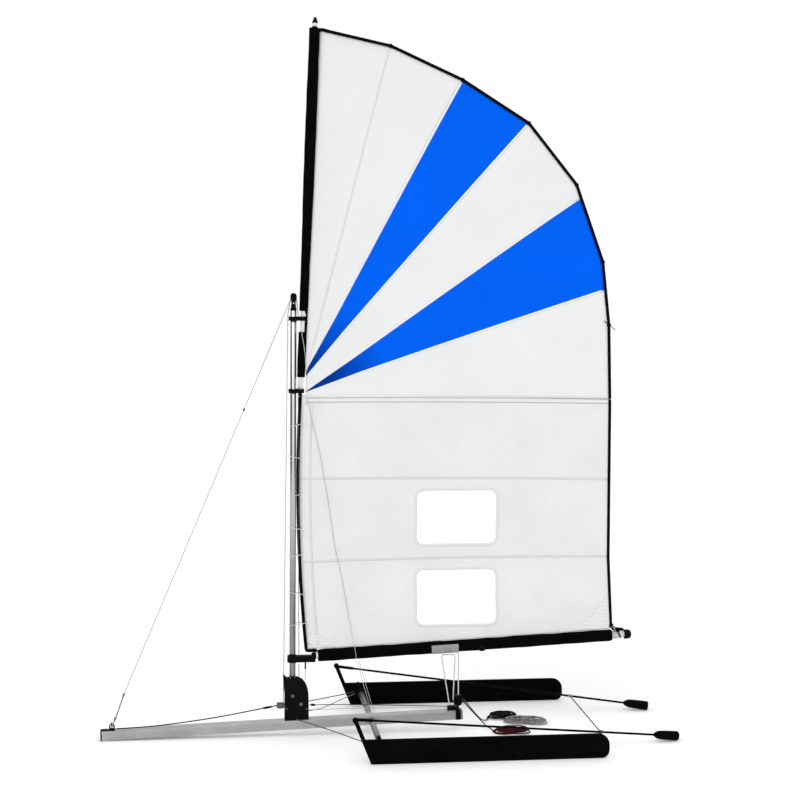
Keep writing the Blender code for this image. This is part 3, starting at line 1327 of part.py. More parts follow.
def make_lower_sail():
    sail = cloth("lower_sail", lower_sail_rows(12, 10), CLOTH)
    for name, low_z in (("window_lower", WINDOW_LOW_Z), ("window_upper", WINDOW_HIGH_Z)):
        boolean(sail, window_prism(name + "_hole", low_z, 0))
        film = cloth(name, lower_sail_rows(12, 10), FILM)
        boolean(film, window_prism(name + "_edge", low_z, SEAM_GAP), "INTERSECT")
        attach(film, CLEAR_FILM, SWING)
    attach(sail, WHITE_SAIL, SWING)


def make_sail_ropes():
    low = tack_z()
    plug_low = GAFF_FOOT_Z - COLLAR_FLOOR - PLUG_HEIGHT - 2 * GAP
    heights = [plug_low + (low + 6 * LUFF_RADIUS - plug_low) * step / 8 for step in range(9)]
    points = [Vector((luff_x(z), 0, z)) for z in heights]
    bend = LUFF_RADIUS * TACK_BEND_SHARE
    for step in range(5):
        angle = math.radians(180 + 90 * step / 4)
        turn = Vector((math.cos(angle), 0, math.sin(angle))) * bend
        points.append(Vector((LUFF_TACK_X + bend, 0, low + bend)) + turn)
    points.append(Vector((SLEEVE_FRONT - (BOOM_RADIUS + 2 * LUFF_RADIUS) * BOOM_AIM.z - 2 * GAP, 0, low)))
    attach(rope("luff_rope", points, LUFF_RADIUS), BLACK_ROPE, SWING)
    clew_z = foot_z(CLEW_X)
    outhaul_z = boom_z(CLEW_X + LEECH_RADIUS) + BOOM_RADIUS + LEECH_RADIUS + 2 * GAP
    end = boom_end()
    end_z = end.z + BOOM_RADIUS + LEECH_RADIUS + 2 * GAP
    outhaul_end = Vector((end.x - BOOM_CAP_RADIUS * BOOM_AIM.z - 3 * GAP, 0, end_z))
    points = [
        THROAT_END - Vector((0, 0, GAP)), Vector((LEECH_LOWER_X, 0, LEECH_LOWER_Z)),
        Vector((CLEW_X, 0, clew_z + LEECH_RADIUS * 2)),
        Vector((CLEW_X + 3 * LEECH_RADIUS, 0, outhaul_z + LEECH_RADIUS)), outhaul_end,
    ]
    attach(rope("leech_cord_lower", points, LEECH_RADIUS), BLACK_ROPE, SWING)


def make_halyards():
    """The halyard over the masthead sheave, and the downhaul beside the luff."""
    lead = fairlead_centre()
    sheave = head_sheave_centre()
    wrap = HEAD_SHEAVE_RADIUS * 0.88 + ROPE_LIGHT + GAP
    front = -MAST_RADIUS - RUNNING_CLEARANCE - COLLAR_RING - ROPE_LIGHT - 3 * GAP
    points = [
        Vector((lead.x + FAIRLEAD_LENGTH * 0.34, 0, lead.z + FAIRLEAD_HEIGHT / 2 + GAP)),
        Vector((front, 0, MAST_TOP - COLLAR_HEIGHT)),
    ]
    for step in range(9):
        angle = math.radians(180 - 180 * step / 8)
        points.append(sheave + Vector((wrap * math.cos(angle), 0, wrap * math.sin(angle))))
    collar_top = collar_middle(COLLAR_RISE) + COLLAR_HEIGHT / 2
    points.append(Vector((MAST_RADIUS + RUNNING_CLEARANCE + COLLAR_RING, 0, collar_top + 2 * GAP)))
    attach(rope("halyard", points, ROPE_LIGHT), WHITE_ROPE, STATION)
    x = MAST_RADIUS + RUNNING_CLEARANCE + COLLAR_RING
    y = -LUFF_RADIUS - ROPE_THIN - 4 * GAP
    low = Vector((x + COLLAR_RING, y, GOOSENECK_TOP + GAP))
    attach(
        rope("downhaul", [low, Vector((x, y, collar_middle(0) - COLLAR_HEIGHT / 2 - GAP))], ROPE_THIN),
        GREY_ROPE, SWING,
    )


def make_stays():
    """The forestay with its ferrule and lanyard, the control line and the two braces."""
    start_y = -HEAD_SLOT / 2 - HEAD_PLATE_THICKNESS - ROPE_THIN - GAP
    start = Vector((-HEAD_PLATE_WIDTH * 0.45, start_y, head_sheave_centre().z - HEAD_SHEAVE_RADIUS))
    eye = bow_eye_centre()
    lanyard = eye + Vector((0.036, -0.003, 0.098))
    upper = start.lerp(lanyard, 0.273)
    lower = start.lerp(lanyard, 0.284)
    points = [start, upper, upper, lower, lower, lanyard]
    swell = {2: FERRULE_RADIUS / ROPE_THIN, 3: FERRULE_RADIUS / ROPE_THIN}
    thick = ROPE_LANYARD / ROPE_THIN
    around = EYE_THICKNESS / 2 + ROPE_LANYARD + 4 * GAP
    tail = [
        eye + Vector((0.012, -around, 0.028)), eye + Vector((0.003, -around * 1.6, 0.012)),
        eye + Vector((0.001, -around * 1.5, 0.002)),
        eye + Vector((0, -around * 0.6, -0.001)), eye + Vector((0, around * 0.6, -0.001)),
        eye + Vector((-0.001, around * 1.5, 0.002)), eye + Vector((-0.003, around * 1.6, 0.012)),
    ]
    for extra in [lanyard] + tail:
        swell[len(points)] = thick
        points.append(extra)
    points[2] = upper.lerp(lower, 0.12)
    points[3] = upper.lerp(lower, 0.88)
    points[6] = lanyard.lerp(tail[0], 0.02)
    attach(rope("forestay", points, ROPE_THIN, swell), GREY_ROPE, STATION)
    lead = fairlead_centre()
    route = [eye + Vector(CONTROL_START)] + [Vector(place) for place in CONTROL_ROUTE]
    route.append(Vector((lead.x - FAIRLEAD_LENGTH / 2 - 2 * GAP, 0, CONTROL_END_Z)))
    attach(rope("control_line", route, ROPE_LIGHT, {5: 1.9, 6: 1.9}), BLACK_ROPE, STATION)
    cheek_y = MAST_RADIUS + 2 * GAP + CHEEK_THICKNESS + ROPE_LIGHT + GAP
    hub_y = BOARD_Y - BOARD_THICKNESS / 2 - GAP - HUB_WIDTH / 2
    hub_front = PIVOT.x - HUB_RADIUS - ROPE_LIGHT - GAP
    near = [Vector((0.012, -cheek_y, BAR_TOP_AT_MAST + 0.004))]
    near += [Vector(place) for place in BRACE_NEAR_ROUTE]
    near.append(Vector((hub_front, -hub_y, PIVOT.z + 0.004)))
    attach(rope("brace_near", smooth_route(near, 0.03), ROPE_LIGHT), GREY_ROPE, STATION)
    far = [Vector((CHEEK_AFT - 0.006, cheek_y, BAR_TOP_AT_MAST + 0.050))]
    far += [Vector(place) for place in BRACE_FAR_ROUTE]
    far.append(Vector((hub_front, hub_y, PIVOT.z + 0.006)))
    attach(rope("brace_far", smooth_route(far, 0.03), ROPE_LIGHT), GREY_ROPE, STATION)


def make_running_lines():
    """The mainsheet between the bar and the boom, and the light line in front of the sail."""
    top = webbing_underside(WEBBING_X - WEBBING_LENGTH / 2) - ROPE_SHEET - 2 * GAP
    sheave = sheet_sheave_centre()
    wrap = BLOCK_SHEAVE_RADIUS * 0.86 + ROPE_SHEET + GAP
    cleat = bar_at(CLEAT_X - CLEAT_LENGTH / 4, 0, BAR_HEIGHT + CLEAT_HEIGHT + ROPE_SHEET + 2 * GAP)
    fore_x = WEBBING_X - WEBBING_LENGTH * SHEET_FORE_SHARE
    aft_x, last_x = (sheave.x + wrap * share for share in SHEET_FALL_SHARES)
    points = [
        cleat, Vector((fore_x, 0, top - 0.006)), Vector((fore_x + 0.003, 0, top)),
        Vector((aft_x - 0.003, 0, top)), Vector((aft_x, 0, top - 0.006)),
    ]
    for step in range(7):
        angle = math.radians(180 + 180 * step / 6)
        points.append(sheave + Vector((wrap * math.cos(angle), 0, wrap * math.sin(angle))))
    last_z = webbing_underside(last_x) + WEBBING_THICKNESS - ROPE_SHEET - 4 * GAP
    points.append(Vector((last_x, 0, last_z)))
    attach(rope("mainsheet", points, ROPE_SHEET), WHITE_ROPE, STATION)
    front = -BOOM_SLEEVE_HALF_THICKNESS - ROPE_LIGHT - 2 * GAP
    off = -CLOTH / 2 - ROPE_LIGHT - 2 * GAP
    route = [on_sail(x, z) + Vector((0, off, 0)) for x, z in BRAIL_PLACES]
    route += [Vector((x, front, z)) for x, z in BRAIL_FOOT_PLACES]
    attach(rope("brail_line_upper", route, ROPE_LIGHT), WHITE_ROPE, SWING)
    low = bar_z(CROSSBAR_X, BAR_HEIGHT) + 3 * GAP
    inward = (1.0, 0.8, 0.5)
    route = [Vector((x, front * share, z)) for (x, z), share in zip(BRAIL_LOW_PLACES, inward)]
    route.append(Vector((CROSSBAR_X + 0.002, 0, low)))
    attach(rope("brail_line_lower", smooth_route(route, 0.03), ROPE_LIGHT), WHITE_ROPE, STATION)


def hank_points(centre, length, width, heading, way):
    """An unbroken bundle: loops spiral in and up, climb where they reverse, and spiral out on top.

    It starts at its front end, where the rope arrives along Y in the direction that way gives."""
    points = []
    total = 2 * HANK_LOOPS
    for index in range(total * HANK_LOOP_POINTS + 1):
        turns = index / HANK_LOOP_POINTS
        inward = HANK_STEP * min(turns, total - turns)
        climb = min(max((turns - HANK_LOOPS + 0.25) / 0.5, 0), 1)
        angle = 2 * math.pi * turns
        x = -(length / 2 - inward) * math.cos(angle)
        waist = 1 - (1 - HANK_WAIST_SHARE) * math.exp(-((x / (length * 0.2)) ** 2))
        y = way * (width / 2 - inward) * math.sin(angle) * waist
        z = HANK_RADIUS + GAP + HANK_LAYER * climb + HANK_RISE * inward / (HANK_LOOPS * HANK_STEP)
        points.append(Vector(centre) + Matrix.Rotation(heading, 3, "Z") @ Vector((x, y, z)))
    return points


def least_gap(points, radius):
    """The least gap that the tube leaves to itself, away from its neighbouring points."""
    least = math.inf
    for index, point in enumerate(points):
        for other in points[index + 5:]:
            least = min(least, (point - other).length - 2 * radius)
    return least


def make_sheet_ends():
    """The two loose rope ends and the three bundles on the floor. Each loose end runs into its bundle."""
    hanks = (
        ("hank_black", (0.684, 0.122, 0), 0.092, 0.070, math.radians(-8), 1, BLACK_ROPE),
        ("hank_grey", (0.746, 0.0584, 0), 0.138, 0.070, math.radians(-14), 1, GREY_ROPE),
        ("hank_red", (0.683, -0.046, 0), 0.112, 0.064, math.radians(-4), -1, RED_ROPE),
    )
    starts = {}
    for name, centre, length, width, heading, way, material in hanks:
        points = hank_points(centre, length, width, heading, way)
        starts[name] = points[0] - (points[1] - points[0]).normalized() * 3 * GAP
        print(f"{name}: least gap to itself {1000 * least_gap(points, HANK_RADIUS):.2f} mm")
        attach(rope(name, points, HANK_RADIUS, resolution=1), material, STATION)
    floor = ROPE_SHEET + GAP
    face = block_centre() + BAR_AIM * (BLOCK_LENGTH / 2 + 2 * GAP + ROPE_SHEET * 0.75)
    far = [
        (0.545, 0.012, 0.086), (0.565, 0.034, 0.060), (0.589, 0.059, 0.030), (0.611, 0.082, 0.007),
        (0.629, 0.100, floor),
    ]
    near = [
        (0.545, -0.001, 0.080), (0.567, 0.003, 0.055), (0.593, 0.006, 0.027), (0.614, 0.004, 0.007),
        (0.626, -0.010, floor),
    ]
    routes = (
        ("sheet_tail_far", face + Vector((0, 0.0045, 0.003)), far, starts["hank_black"]),
        ("sheet_tail_near", face + Vector((0, -0.0035, -0.004)), near, starts["hank_red"]),
    )
    for name, start, middle, end in routes:
        route = smooth_route([start] + middle + [end], 2 * 2 * ROPE_SHEET)
        points = [Vector((x, y, max(z, floor))) for x, y, z in route]
        attach(rope(name, points, ROPE_SHEET), GREY_ROPE, STATION)


make_deck_bar()
make_bar_caps()
make_crossbar()
make_boards()
make_mast_foot()
make_mast()
make_masthead()
make_fairlead()
make_sheet_gear()
make_gooseneck()
make_boom()
make_gaff()
make_fan()
make_lower_sail()
make_sail_ropes()
make_halyards()
make_stays()
make_running_lines()
make_sheet_ends()
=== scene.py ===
# %% [markdown]
# # A gunter sail rig for a canoe
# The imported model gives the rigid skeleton: mast, boom, gaff, deck bar, leeboards and their joints.
# This lesson dresses it: the cloth, the ropes, the finish of each surface, and a plain white studio.
# Lengths are in metres and count from the mast's axis. Each mesh is shifted into the model's frame at the end.

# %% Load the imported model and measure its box
import math

import bpy
import numpy as np
from mathutils import Matrix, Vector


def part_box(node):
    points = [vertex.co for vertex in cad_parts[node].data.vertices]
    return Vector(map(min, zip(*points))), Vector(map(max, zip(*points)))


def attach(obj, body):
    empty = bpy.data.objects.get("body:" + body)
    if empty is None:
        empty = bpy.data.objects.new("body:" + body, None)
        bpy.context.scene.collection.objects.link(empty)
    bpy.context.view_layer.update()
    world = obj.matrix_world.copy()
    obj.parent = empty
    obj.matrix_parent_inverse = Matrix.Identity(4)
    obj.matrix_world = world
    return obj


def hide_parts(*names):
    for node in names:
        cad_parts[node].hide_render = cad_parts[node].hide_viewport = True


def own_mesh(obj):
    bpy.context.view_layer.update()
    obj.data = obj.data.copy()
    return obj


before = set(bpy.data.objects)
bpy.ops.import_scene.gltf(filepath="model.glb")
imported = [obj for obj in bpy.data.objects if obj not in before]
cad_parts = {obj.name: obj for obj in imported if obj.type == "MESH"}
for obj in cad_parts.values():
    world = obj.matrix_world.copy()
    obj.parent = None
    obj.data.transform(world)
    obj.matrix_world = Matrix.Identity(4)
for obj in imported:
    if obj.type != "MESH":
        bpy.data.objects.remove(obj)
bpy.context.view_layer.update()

mast_low, mast_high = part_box("mast_tube")
MAST_X = (mast_low.x + mast_high.x) / 2


def centre_of(node_name):
    """The middle of a node's box, counted from the mast."""
    low, high = (np.array(list(corner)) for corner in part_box(node_name))
    return (low + high) / 2 - (MAST_X, 0, 0)


print("the mast stands at x", round(MAST_X, 5))

# %% [markdown]
# ## The camera
# The photograph was taken from about 5 m away with a long lens, a little to the left of the mast and 1.5 m up.
# The camera stands at that place with the same turn, so that every piece can be compared with its own picture.

# %% Camera
CAMERA_PLACE = (-0.3069, -5.1075, 1.4947)
CAMERA_YAW, CAMERA_PITCH, CAMERA_ROLL = (math.radians(a) for a in (7.0798, -5.0579, 0.4864))
SENSOR, LENS = 36.0, 75.815


def camera_axes():
    """The camera's right, up and backward directions: yaw about Z, then pitch, then a roll about the view."""
    forward = np.array((math.sin(CAMERA_YAW) * math.cos(CAMERA_PITCH),
                        math.cos(CAMERA_YAW) * math.cos(CAMERA_PITCH), math.sin(CAMERA_PITCH)))
    right = np.array((math.cos(CAMERA_YAW), -math.sin(CAMERA_YAW), 0.0))
    up = np.cross(right, forward)
    turn, slip = math.cos(CAMERA_ROLL), math.sin(CAMERA_ROLL)
    return right * turn + up * slip, up * turn - right * slip, -forward


lens = bpy.data.cameras.new("camera")
lens.sensor_width, lens.lens = SENSOR, LENS
lens.clip_start, lens.clip_end = 0.1, 100
camera = bpy.data.objects.new("camera", lens)
bpy.context.scene.collection.objects.link(camera)
camera.matrix_world = (Matrix.Translation((CAMERA_PLACE[0] + MAST_X, *CAMERA_PLACE[1:]))
                       @ Matrix(np.stack(camera_axes(), axis=1).tolist()).to_4x4())
bpy.context.scene.camera = camera

# %% [markdown]
# ## Sizes of the rig
# A look can only fit the skeleton if it uses the same sizes, so the ones that the cloth and the ropes
# need are repeated here. The sail is set out in its own plane, X aft and Z up.

# %% Sizes that the dressing shares with the skeleton
def tilted(angle):
    """The direction at this angle above X, and the one square to it."""
    return (np.array((math.cos(angle), 0.0, math.sin(angle))), np.array((-math.sin(angle), 0.0, math.cos(angle))))


DEPTH = np.array((0.0, 1.0, 0.0))
GAP = 0.0003
BOARD_SPACING = 0.652
MAST_RADIUS = 0.0096
GAFF_FOOT = np.array((0.0216, 0.0, 1.0640))
GAFF_LEAN = math.radians(2.07)
GAFF_LENGTH = 1.0935
GAFF_AIM = np.array((math.sin(GAFF_LEAN), 0.0, math.cos(GAFF_LEAN)))
GAFF_SIDE = np.array((GAFF_AIM[2], 0.0, -GAFF_AIM[0]))
GAFF_RADIUS = 0.0085
GAFF_SLEEVE_FROM = 0.046
GAFF_SLEEVE_HALF_WIDTHS = (0.0122, 0.0162)
GAFF_SLEEVE_HALF_THICKNESS = 0.0106
CUTOUT = (0.183, 0.247)
BAR_FRONT, BAR_HEIGHT, BAR_RISE = -0.5845, 0.028, math.radians(2.0)
BAR_AIM, BAR_UP = tilted(BAR_RISE)
BOOM_RISE = math.radians(2.82)
BOOM_AIM, BOOM_UP = tilted(BOOM_RISE)
BOOM_FRONT, BOOM_LENGTH, BOOM_RADIUS, CAP_RADIUS = 0.0730, 0.974, 0.010, 0.0148
WHEEL_RADIUS, CHEEK_THICKNESS = 0.0072, 0.004
COLLAR_HEIGHT, COLLAR_RING, COLLAR_RISE, COLLAR_FLOOR, PLUG_HEIGHT = 0.0125, 0.0046, 0.220, 0.0025, 0.0105
COLLAR_REACH = MAST_RADIUS + 0.0005 + COLLAR_RING
HEAD_PLATE_WIDTH, HEAD_PLATE_THICKNESS, HEAD_SLOT = 0.019, 0.0028, 0.009
FAIRLEAD_LENGTH, FAIRLEAD_HEIGHT, GOOSENECK_TOP = 0.025, 0.019, 0.249
EYE_TAB_LENGTH, EYE_TAB_THICKNESS, EYE_RADIUS, EYE_THICKNESS = 0.044, 0.0022, 0.009, 0.004
BOARD_THICKNESS, HUB_WIDTH, HUB_RADIUS = 0.010, 0.022, 0.018
ROPE_THIN, ROPE_LIGHT, ROPE_SHEET, ROPE_LANYARD = 0.0011, 0.0015, 0.0018, 0.0020
SLEEVE_FRONT, SLEEVE_LENGTH = 0.0785, 0.928
SLEEVE_HALF_HEIGHTS = (0.0190, 0.0185)
SLEEVE_HALF_THICKNESS = 0.0125
BOOM_FRONT_Z = 0.2473
LUFF_RADIUS, LEECH_RADIUS = 0.0052, 0.0048
LUFF_TACK_X, LUFF_THROAT_X, LUFF_BOW = 0.042, 0.0216, 0.0150
CAMBER, CAMBER_RISE, SAIL_WIDTH = 0.030, 0.26, 0.9525

# %% Lines of the spars
def boom_z(x):
    """The boom's axis is a straight line: its height at x grows with the tangent of its rise."""
    return BOOM_FRONT_Z + (x - SLEEVE_FRONT) * math.tan(BOOM_RISE)


def in_plane(x, z):
    """Points (x, 0, z) on the rig's middle plane."""
    return np.stack((x, np.zeros_like(x), z), -1)


def boom_at(x):
    return in_plane(x, boom_z(x))


def sleeve_half(x):
    """Half the height of the boom's sleeve at x."""
    return np.interp(x, (SLEEVE_FRONT, SLEEVE_FRONT + SLEEVE_LENGTH), SLEEVE_HALF_HEIGHTS)


def gaff_at(along):
    """A point of the gaff's axis, this far from its foot."""
    return GAFF_FOOT + np.multiply.outer(np.asarray(along, float), GAFF_AIM)


def gaff_half_width(along):
    return np.interp(along, (GAFF_SLEEVE_FROM, GAFF_LENGTH), GAFF_SLEEVE_HALF_WIDTHS)


def gaff_back(along):
    """The aft edge of the gaff's sleeve: its axis moved aft by the sleeve's half width."""
    along = np.asarray(along, float)
    return gaff_at(along) + np.multiply.outer(gaff_half_width(along) + GAP, GAFF_SIDE)


# %% Outline of the sail: the leech's corners and the throat, from the luff and the fan's shares
THROAT_Z, LEECH_LOWER, CLEW_X = 1.0552, (0.9905, 0.540), 1.0035
LEECH_SHARES = np.array(((0.270, 0.962), (0.501, 0.874), (0.717, 0.759), (0.877, 0.590), (0.968, 0.375),
                         (0.992, 0.197), (1.000, -0.014)))
FAN_HEIGHT = GAFF_LENGTH * 1.0014
back_low, back_top = gaff_back(GAFF_SLEEVE_FROM), gaff_back(GAFF_LENGTH)


def back_edge(z):
    """The point of the gaff sleeve's aft edge at this height."""
    slope = (back_top[0] - back_low[0]) / (back_top[2] - back_low[2])
    z = np.asarray(z, float)
    return np.stack((back_low[0] + slope * (z - back_low[2]), z), -1)


THROAT = back_edge(THROAT_Z)
HEAD_CORNER = np.array((back_top[0] + LEECH_RADIUS, back_top[2] - LEECH_RADIUS))
LEECH = np.vstack((HEAD_CORNER, THROAT + LEECH_SHARES * (SAIL_WIDTH, FAN_HEIGHT)))
THROAT_END = LEECH[-1]
TACK_HEIGHT = float(boom_z(SLEEVE_FRONT)) + BOOM_RADIUS + LUFF_RADIUS + 2 * GAP


def foot_z(x):
    """The sail's lower edge lies on the boom's sleeve, and near the tack on the luff rope's last run."""
    return np.maximum(boom_z(x) + sleeve_half(x) / math.cos(BOOM_RISE) + 2 * GAP, TACK_HEIGHT + LUFF_RADIUS + GAP)


def luff_x(z):
    """The luff is a straight line from tack to throat, bowed forward by a parabola."""
    low = foot_z(LUFF_TACK_X)
    share = np.clip((z - low) / (THROAT_Z - low), 0, 1)
    return LUFF_TACK_X + (LUFF_THROAT_X - LUFF_TACK_X) * share - LUFF_BOW * 4 * share * (1 - share)


def leech_x(z):
    """Straight runs through the clew, the lower leech's corner and the fan's corners."""
    corners = np.vstack(((CLEW_X, foot_z(CLEW_X)), LEECH_LOWER, LEECH[::-1]))
    return np.interp(z, corners[:, 1], corners[:, 0])


def throat_seam_z(x):
    return np.interp(x, (THROAT[0], THROAT_END[0]), (THROAT[1], THROAT_END[1]))


print("leech corners", LEECH.round(4).tolist())

# %% [markdown]
# ## The belly of the sail
# A sail is cut to belly to leeward. Its depth here is a parabola from luff to leech, faded out near the foot,
# as in the skeleton. Fine creases come on top: soft pulls that run from the clew, the tack and the throat,
# and a slow swell. All cloth, tape and film on the sail ask the same function, so they lie on one surface.

# %% Depth of the sail at each point of its plane
CREASE = 0.0011


def pulls(x, z, corner, aim, count, reach):
    """Creases that fan out from a corner: a sine of the angle about it, which dies out along the reach."""
    dx, dz = x - corner[0], z - corner[1]
    away = np.hypot(dx, dz)
    angle = np.arctan2(dz, dx) - aim
    fade = np.exp(-((angle / 0.55) ** 2)) * np.exp(-away / reach) * np.minimum(away / 0.06, 1)
    return np.sin(count * angle) * fade


def sail_y(x, z):
    """How far the cloth lies away from the viewer: the belly's parabola, times a fade at the foot, plus creases."""
    x, z = np.asarray(x, float), np.asarray(z, float)
    gaff_x = GAFF_FOOT[0] + (z - GAFF_FOOT[2]) * math.tan(GAFF_LEAN)
    left = np.where(z < THROAT_Z, luff_x(z), gaff_x)
    chord = np.maximum(leech_x(z) - left, 1e-6)
    across = np.clip((x - left) / chord, 0, 1)
    rise = np.clip((z - foot_z(x)) / CAMBER_RISE, 0, 1)
    belly = CAMBER * 4 * across * (1 - across) * rise ** 2 * (3 - 2 * rise) * chord / SAIL_WIDTH
    swell = np.sin(9 * x + 5 * z) * np.sin(6.5 * z - 3 * x) * 0.7
    crease = (pulls(x, z, (CLEW_X, 0.305), 2.6, 34, 0.22) + pulls(x, z, (LUFF_TACK_X, 0.27), 0.75, 30, 0.16)
              + 0.8 * pulls(x, z, THROAT, 0.4, 26, 0.30) + swell)
    return belly + CREASE * crease * np.minimum(4 * across * (1 - across) * 2.5, 1) * np.minimum(rise * 3, 1)


# %% [markdown]
# ## Making meshes from arrays
# Every new piece is a grid of points that numpy works out at once. The helpers find directions and lengths,
# join a grid's points to faces, put points, faces and UVs into a mesh with its faces outward, and hand the
# piece to the body that it moves with.

# %% Directions, running lengths and circles
def unit(vectors):
    """The same directions, one unit long."""
    vectors = np.asarray(vectors, float)
    return vectors / np.maximum(np.linalg.norm(vectors, axis=-1, keepdims=True), 1e-12)


def reach_along(points):
    """How far each point lies along its line: the running sum of the steps between neighbours."""
    return np.concatenate(([0], np.cumsum(np.linalg.norm(np.diff(points, axis=0), axis=1))))


def length_of(path):
    return float(reach_along(path)[-1])


def square_to(aim):
    """The axis that the aim avoids most, made square to it, and the cross product of the aim with that side."""
    reference = np.eye(3)[np.argmin(np.abs(aim))]
    side = unit(reference - aim * (aim @ reference))
    return side, np.cross(aim, side)


def circle(side, up, sides):
    """cos a side + sin a up: one circle, or one at each point of a route."""
    angle = 2 * np.pi * np.arange(sides)[:, None] / sides
    return np.cos(angle) * side[..., None, :] + np.sin(angle) * up[..., None, :]


# %% Faces over a grid, and a mesh from arrays
def grid(rows, columns, closed=False):
    """Quads over a grid of points. The column after the last is the first again where the grid is closed."""
    row, column = np.meshgrid(np.arange(rows - 1), np.arange(columns - (not closed)), indexing="ij")
    corner_rows = np.stack((row, row, row + 1, row + 1), -1).reshape(-1, 4)
    corner_columns = np.stack((column, column + 1, column + 1, column), -1).reshape(-1, 4)
    return corner_rows * columns + corner_columns % columns, corner_rows, corner_columns


def signed_volume(points, faces):
    """Six times the volume that the faces enclose: positive when they point outward."""
    a, b, c = (points[faces[:, i]] for i in (0, 1, 2))
    d = points[faces[:, -1]]
    return float(np.sum(a * np.cross(b, c)) + np.sum(a * np.cross(c, d)))


def make_mesh(name, parts):
    """One object from several parts, each of points, quads (a triangle repeats its last corner) and corner UVs.

    A closed part whose volume comes out negative is inside out, so its faces are turned round."""
    points, faces, uvs, start = [], [], [], 0
    for part_points, part_faces, part_uv, is_closed in parts:
        if is_closed and signed_volume(part_points, part_faces) < 0:
            part_faces, part_uv = part_faces[:, ::-1], part_uv[:, ::-1]
        points.append(part_points)
        faces.append(part_faces + start)
        uvs.append(part_uv)
        start += len(part_points)
    points, faces, uvs = np.vstack(points), np.vstack(faces), np.vstack(uvs)
    keep = np.roll(faces, 1, axis=1) != faces
    splits = np.split(faces[keep], np.cumsum(keep.sum(1))[:-1])
    mesh = bpy.data.meshes.new(name)
    mesh.from_pydata((points + (MAST_X, 0.0, 0.0)).tolist(), [], [face.tolist() for face in splits])
    mesh.uv_layers.new(name="UVMap").data.foreach_set("uv", uvs[keep].astype(np.float32).ravel())
    mesh.shade_smooth()
    made = bpy.data.objects.new(name, mesh)
    bpy.context.scene.collection.objects.link(made)
    return made


# %% Hand a piece to its body, with its finish and the nodes that it stands for
def hand_over(piece, body, material, stands_for=()):
    """Gives the piece its material, lets it ride on the body, and names what it replaces."""
    piece.data.materials.clear()
    piece.data.materials.append(material)
    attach(piece, body)
    if stands_for:
        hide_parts(*stands_for)
    return piece


def add_piece(name, parts, body, material, stands_for=()):
    """A mesh of these parts, handed over in one step."""
    return hand_over(make_mesh(name, parts), body, material, stands_for)


def add_thin(name, parts, thickness, body, material, stands_for=()):
    """A surface with a little thickness, handed over in one step."""
    return hand_over(solidify(make_mesh(name, parts), thickness), body, material, stands_for)


def fold_down(piece):
    """Gives a piece of the lower sail its own copy of its mesh."""
    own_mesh(piece)
    return piece


def solidify(piece, thickness, offset=0.0):
    wall = piece.modifiers.new("thickness", "SOLIDIFY")
    wall.thickness, wall.offset = thickness, offset
    return piece


# %% [markdown]
# ## Ropes and tubes
# A rope is a circle swept along a route. At each point the circle stands square to the route: one axis is
# a fixed direction made square to the tangent, the other their cross product. The UV map counts metres
# along and round the rope, so a braid keeps its size on every rope.

# %% Skins over rings of points
def tidy_triangles(faces, uv):
    """Where two neighbouring corners of a quad are one point, the corner order is turned so that they come last."""
    for _ in range(4):
        same = faces[:, 0] == faces[:, 1]
        faces = np.where(same[:, None], np.roll(faces, -1, axis=1), faces)
        uv = np.where(same[:, None, None], np.roll(uv, -1, axis=1), uv)
    return faces, uv


def loft(rings, along, round_length):
    """Faces between rings. All points of the first ring are in one place, and so are those of the last."""
    rows, sides = rings.shape[:2]
    faces, corner_rows, corner_columns = grid(rows, sides, closed=True)
    uv = np.stack((np.asarray(along)[corner_rows], corner_columns / sides * round_length), -1)
    last = (rows - 1) * sides
    faces = np.where(faces < sides, 0, np.where(faces >= last, last, faces))
    used = np.concatenate(([0], np.arange(sides, last), [last]))
    renumber = np.zeros(rows * sides, int)
    renumber[used] = np.arange(len(used))
    return rings.reshape(-1, 3)[used], *tidy_triangles(renumber[faces], uv), True


def hoop(rings, along, round_length):
    """A closed skin: after the last ring comes the first again."""
    rows, sides = rings.shape[:2]
    faces, corner_rows, corner_columns = grid(rows + 1, sides, closed=True)
    uv = np.stack((np.asarray(along)[corner_rows], corner_columns / sides * round_length), -1)
    return rings.reshape(-1, 3), faces % (rows * sides), uv, True


def walled_band(outer, inner, along, round_length):
    """A band with a real wall: each ring runs out over the outer skin and back over the inner one."""
    rings = np.concatenate((outer, inner[:, ::-1]), axis=1)
    poles = rings.mean(1, keepdims=True)[[0, -1]].repeat(rings.shape[1], 1)
    along = np.concatenate((along[:1], along, along[-1:])) - along[0]
    return loft(np.concatenate((poles[:1], rings, poles[1:])), along, round_length)


# %% Sweep a circle along a route
def tube(path, side, up, radius, sides):
    """Points: path + radius (cos a side + sin a up), with a pole at each end of the path."""
    radius = np.broadcast_to(radius, (len(path),))
    rings = path[:, None] + circle(side, up, sides) * radius[:, None, None]
    rings = np.concatenate((path[:1, None].repeat(sides, 1), rings, path[-1:, None].repeat(sides, 1)))
    along = reach_along(path)
    return loft(rings, np.concatenate((along[:1], along, along[-1:])), 2 * np.pi * float(np.median(radius)))


def swept(path, radius, sides=12):
    """A tube with rounded tips. Its sideways direction is the axis that the route's tangents avoid most."""
    path = np.asarray(path, float)
    step = unit(path[[1, -1]] - path[[0, -2]]) * radius * 0.5
    path = np.vstack((path[:1], path[:1] + step[:1], path[1:-1], path[-1:] - step[1:], path[-1:]))
    radii = np.full(len(path), float(radius))
    radii[[0, -1]] *= 0.55
    tangent = unit(np.gradient(path, axis=0))
    reference = np.eye(3)[np.argmin(np.abs(tangent).max(axis=0))]
    side = unit(reference - tangent * (tangent @ reference)[:, None])
    return tube(path, side, np.cross(tangent, side), radii, sides)


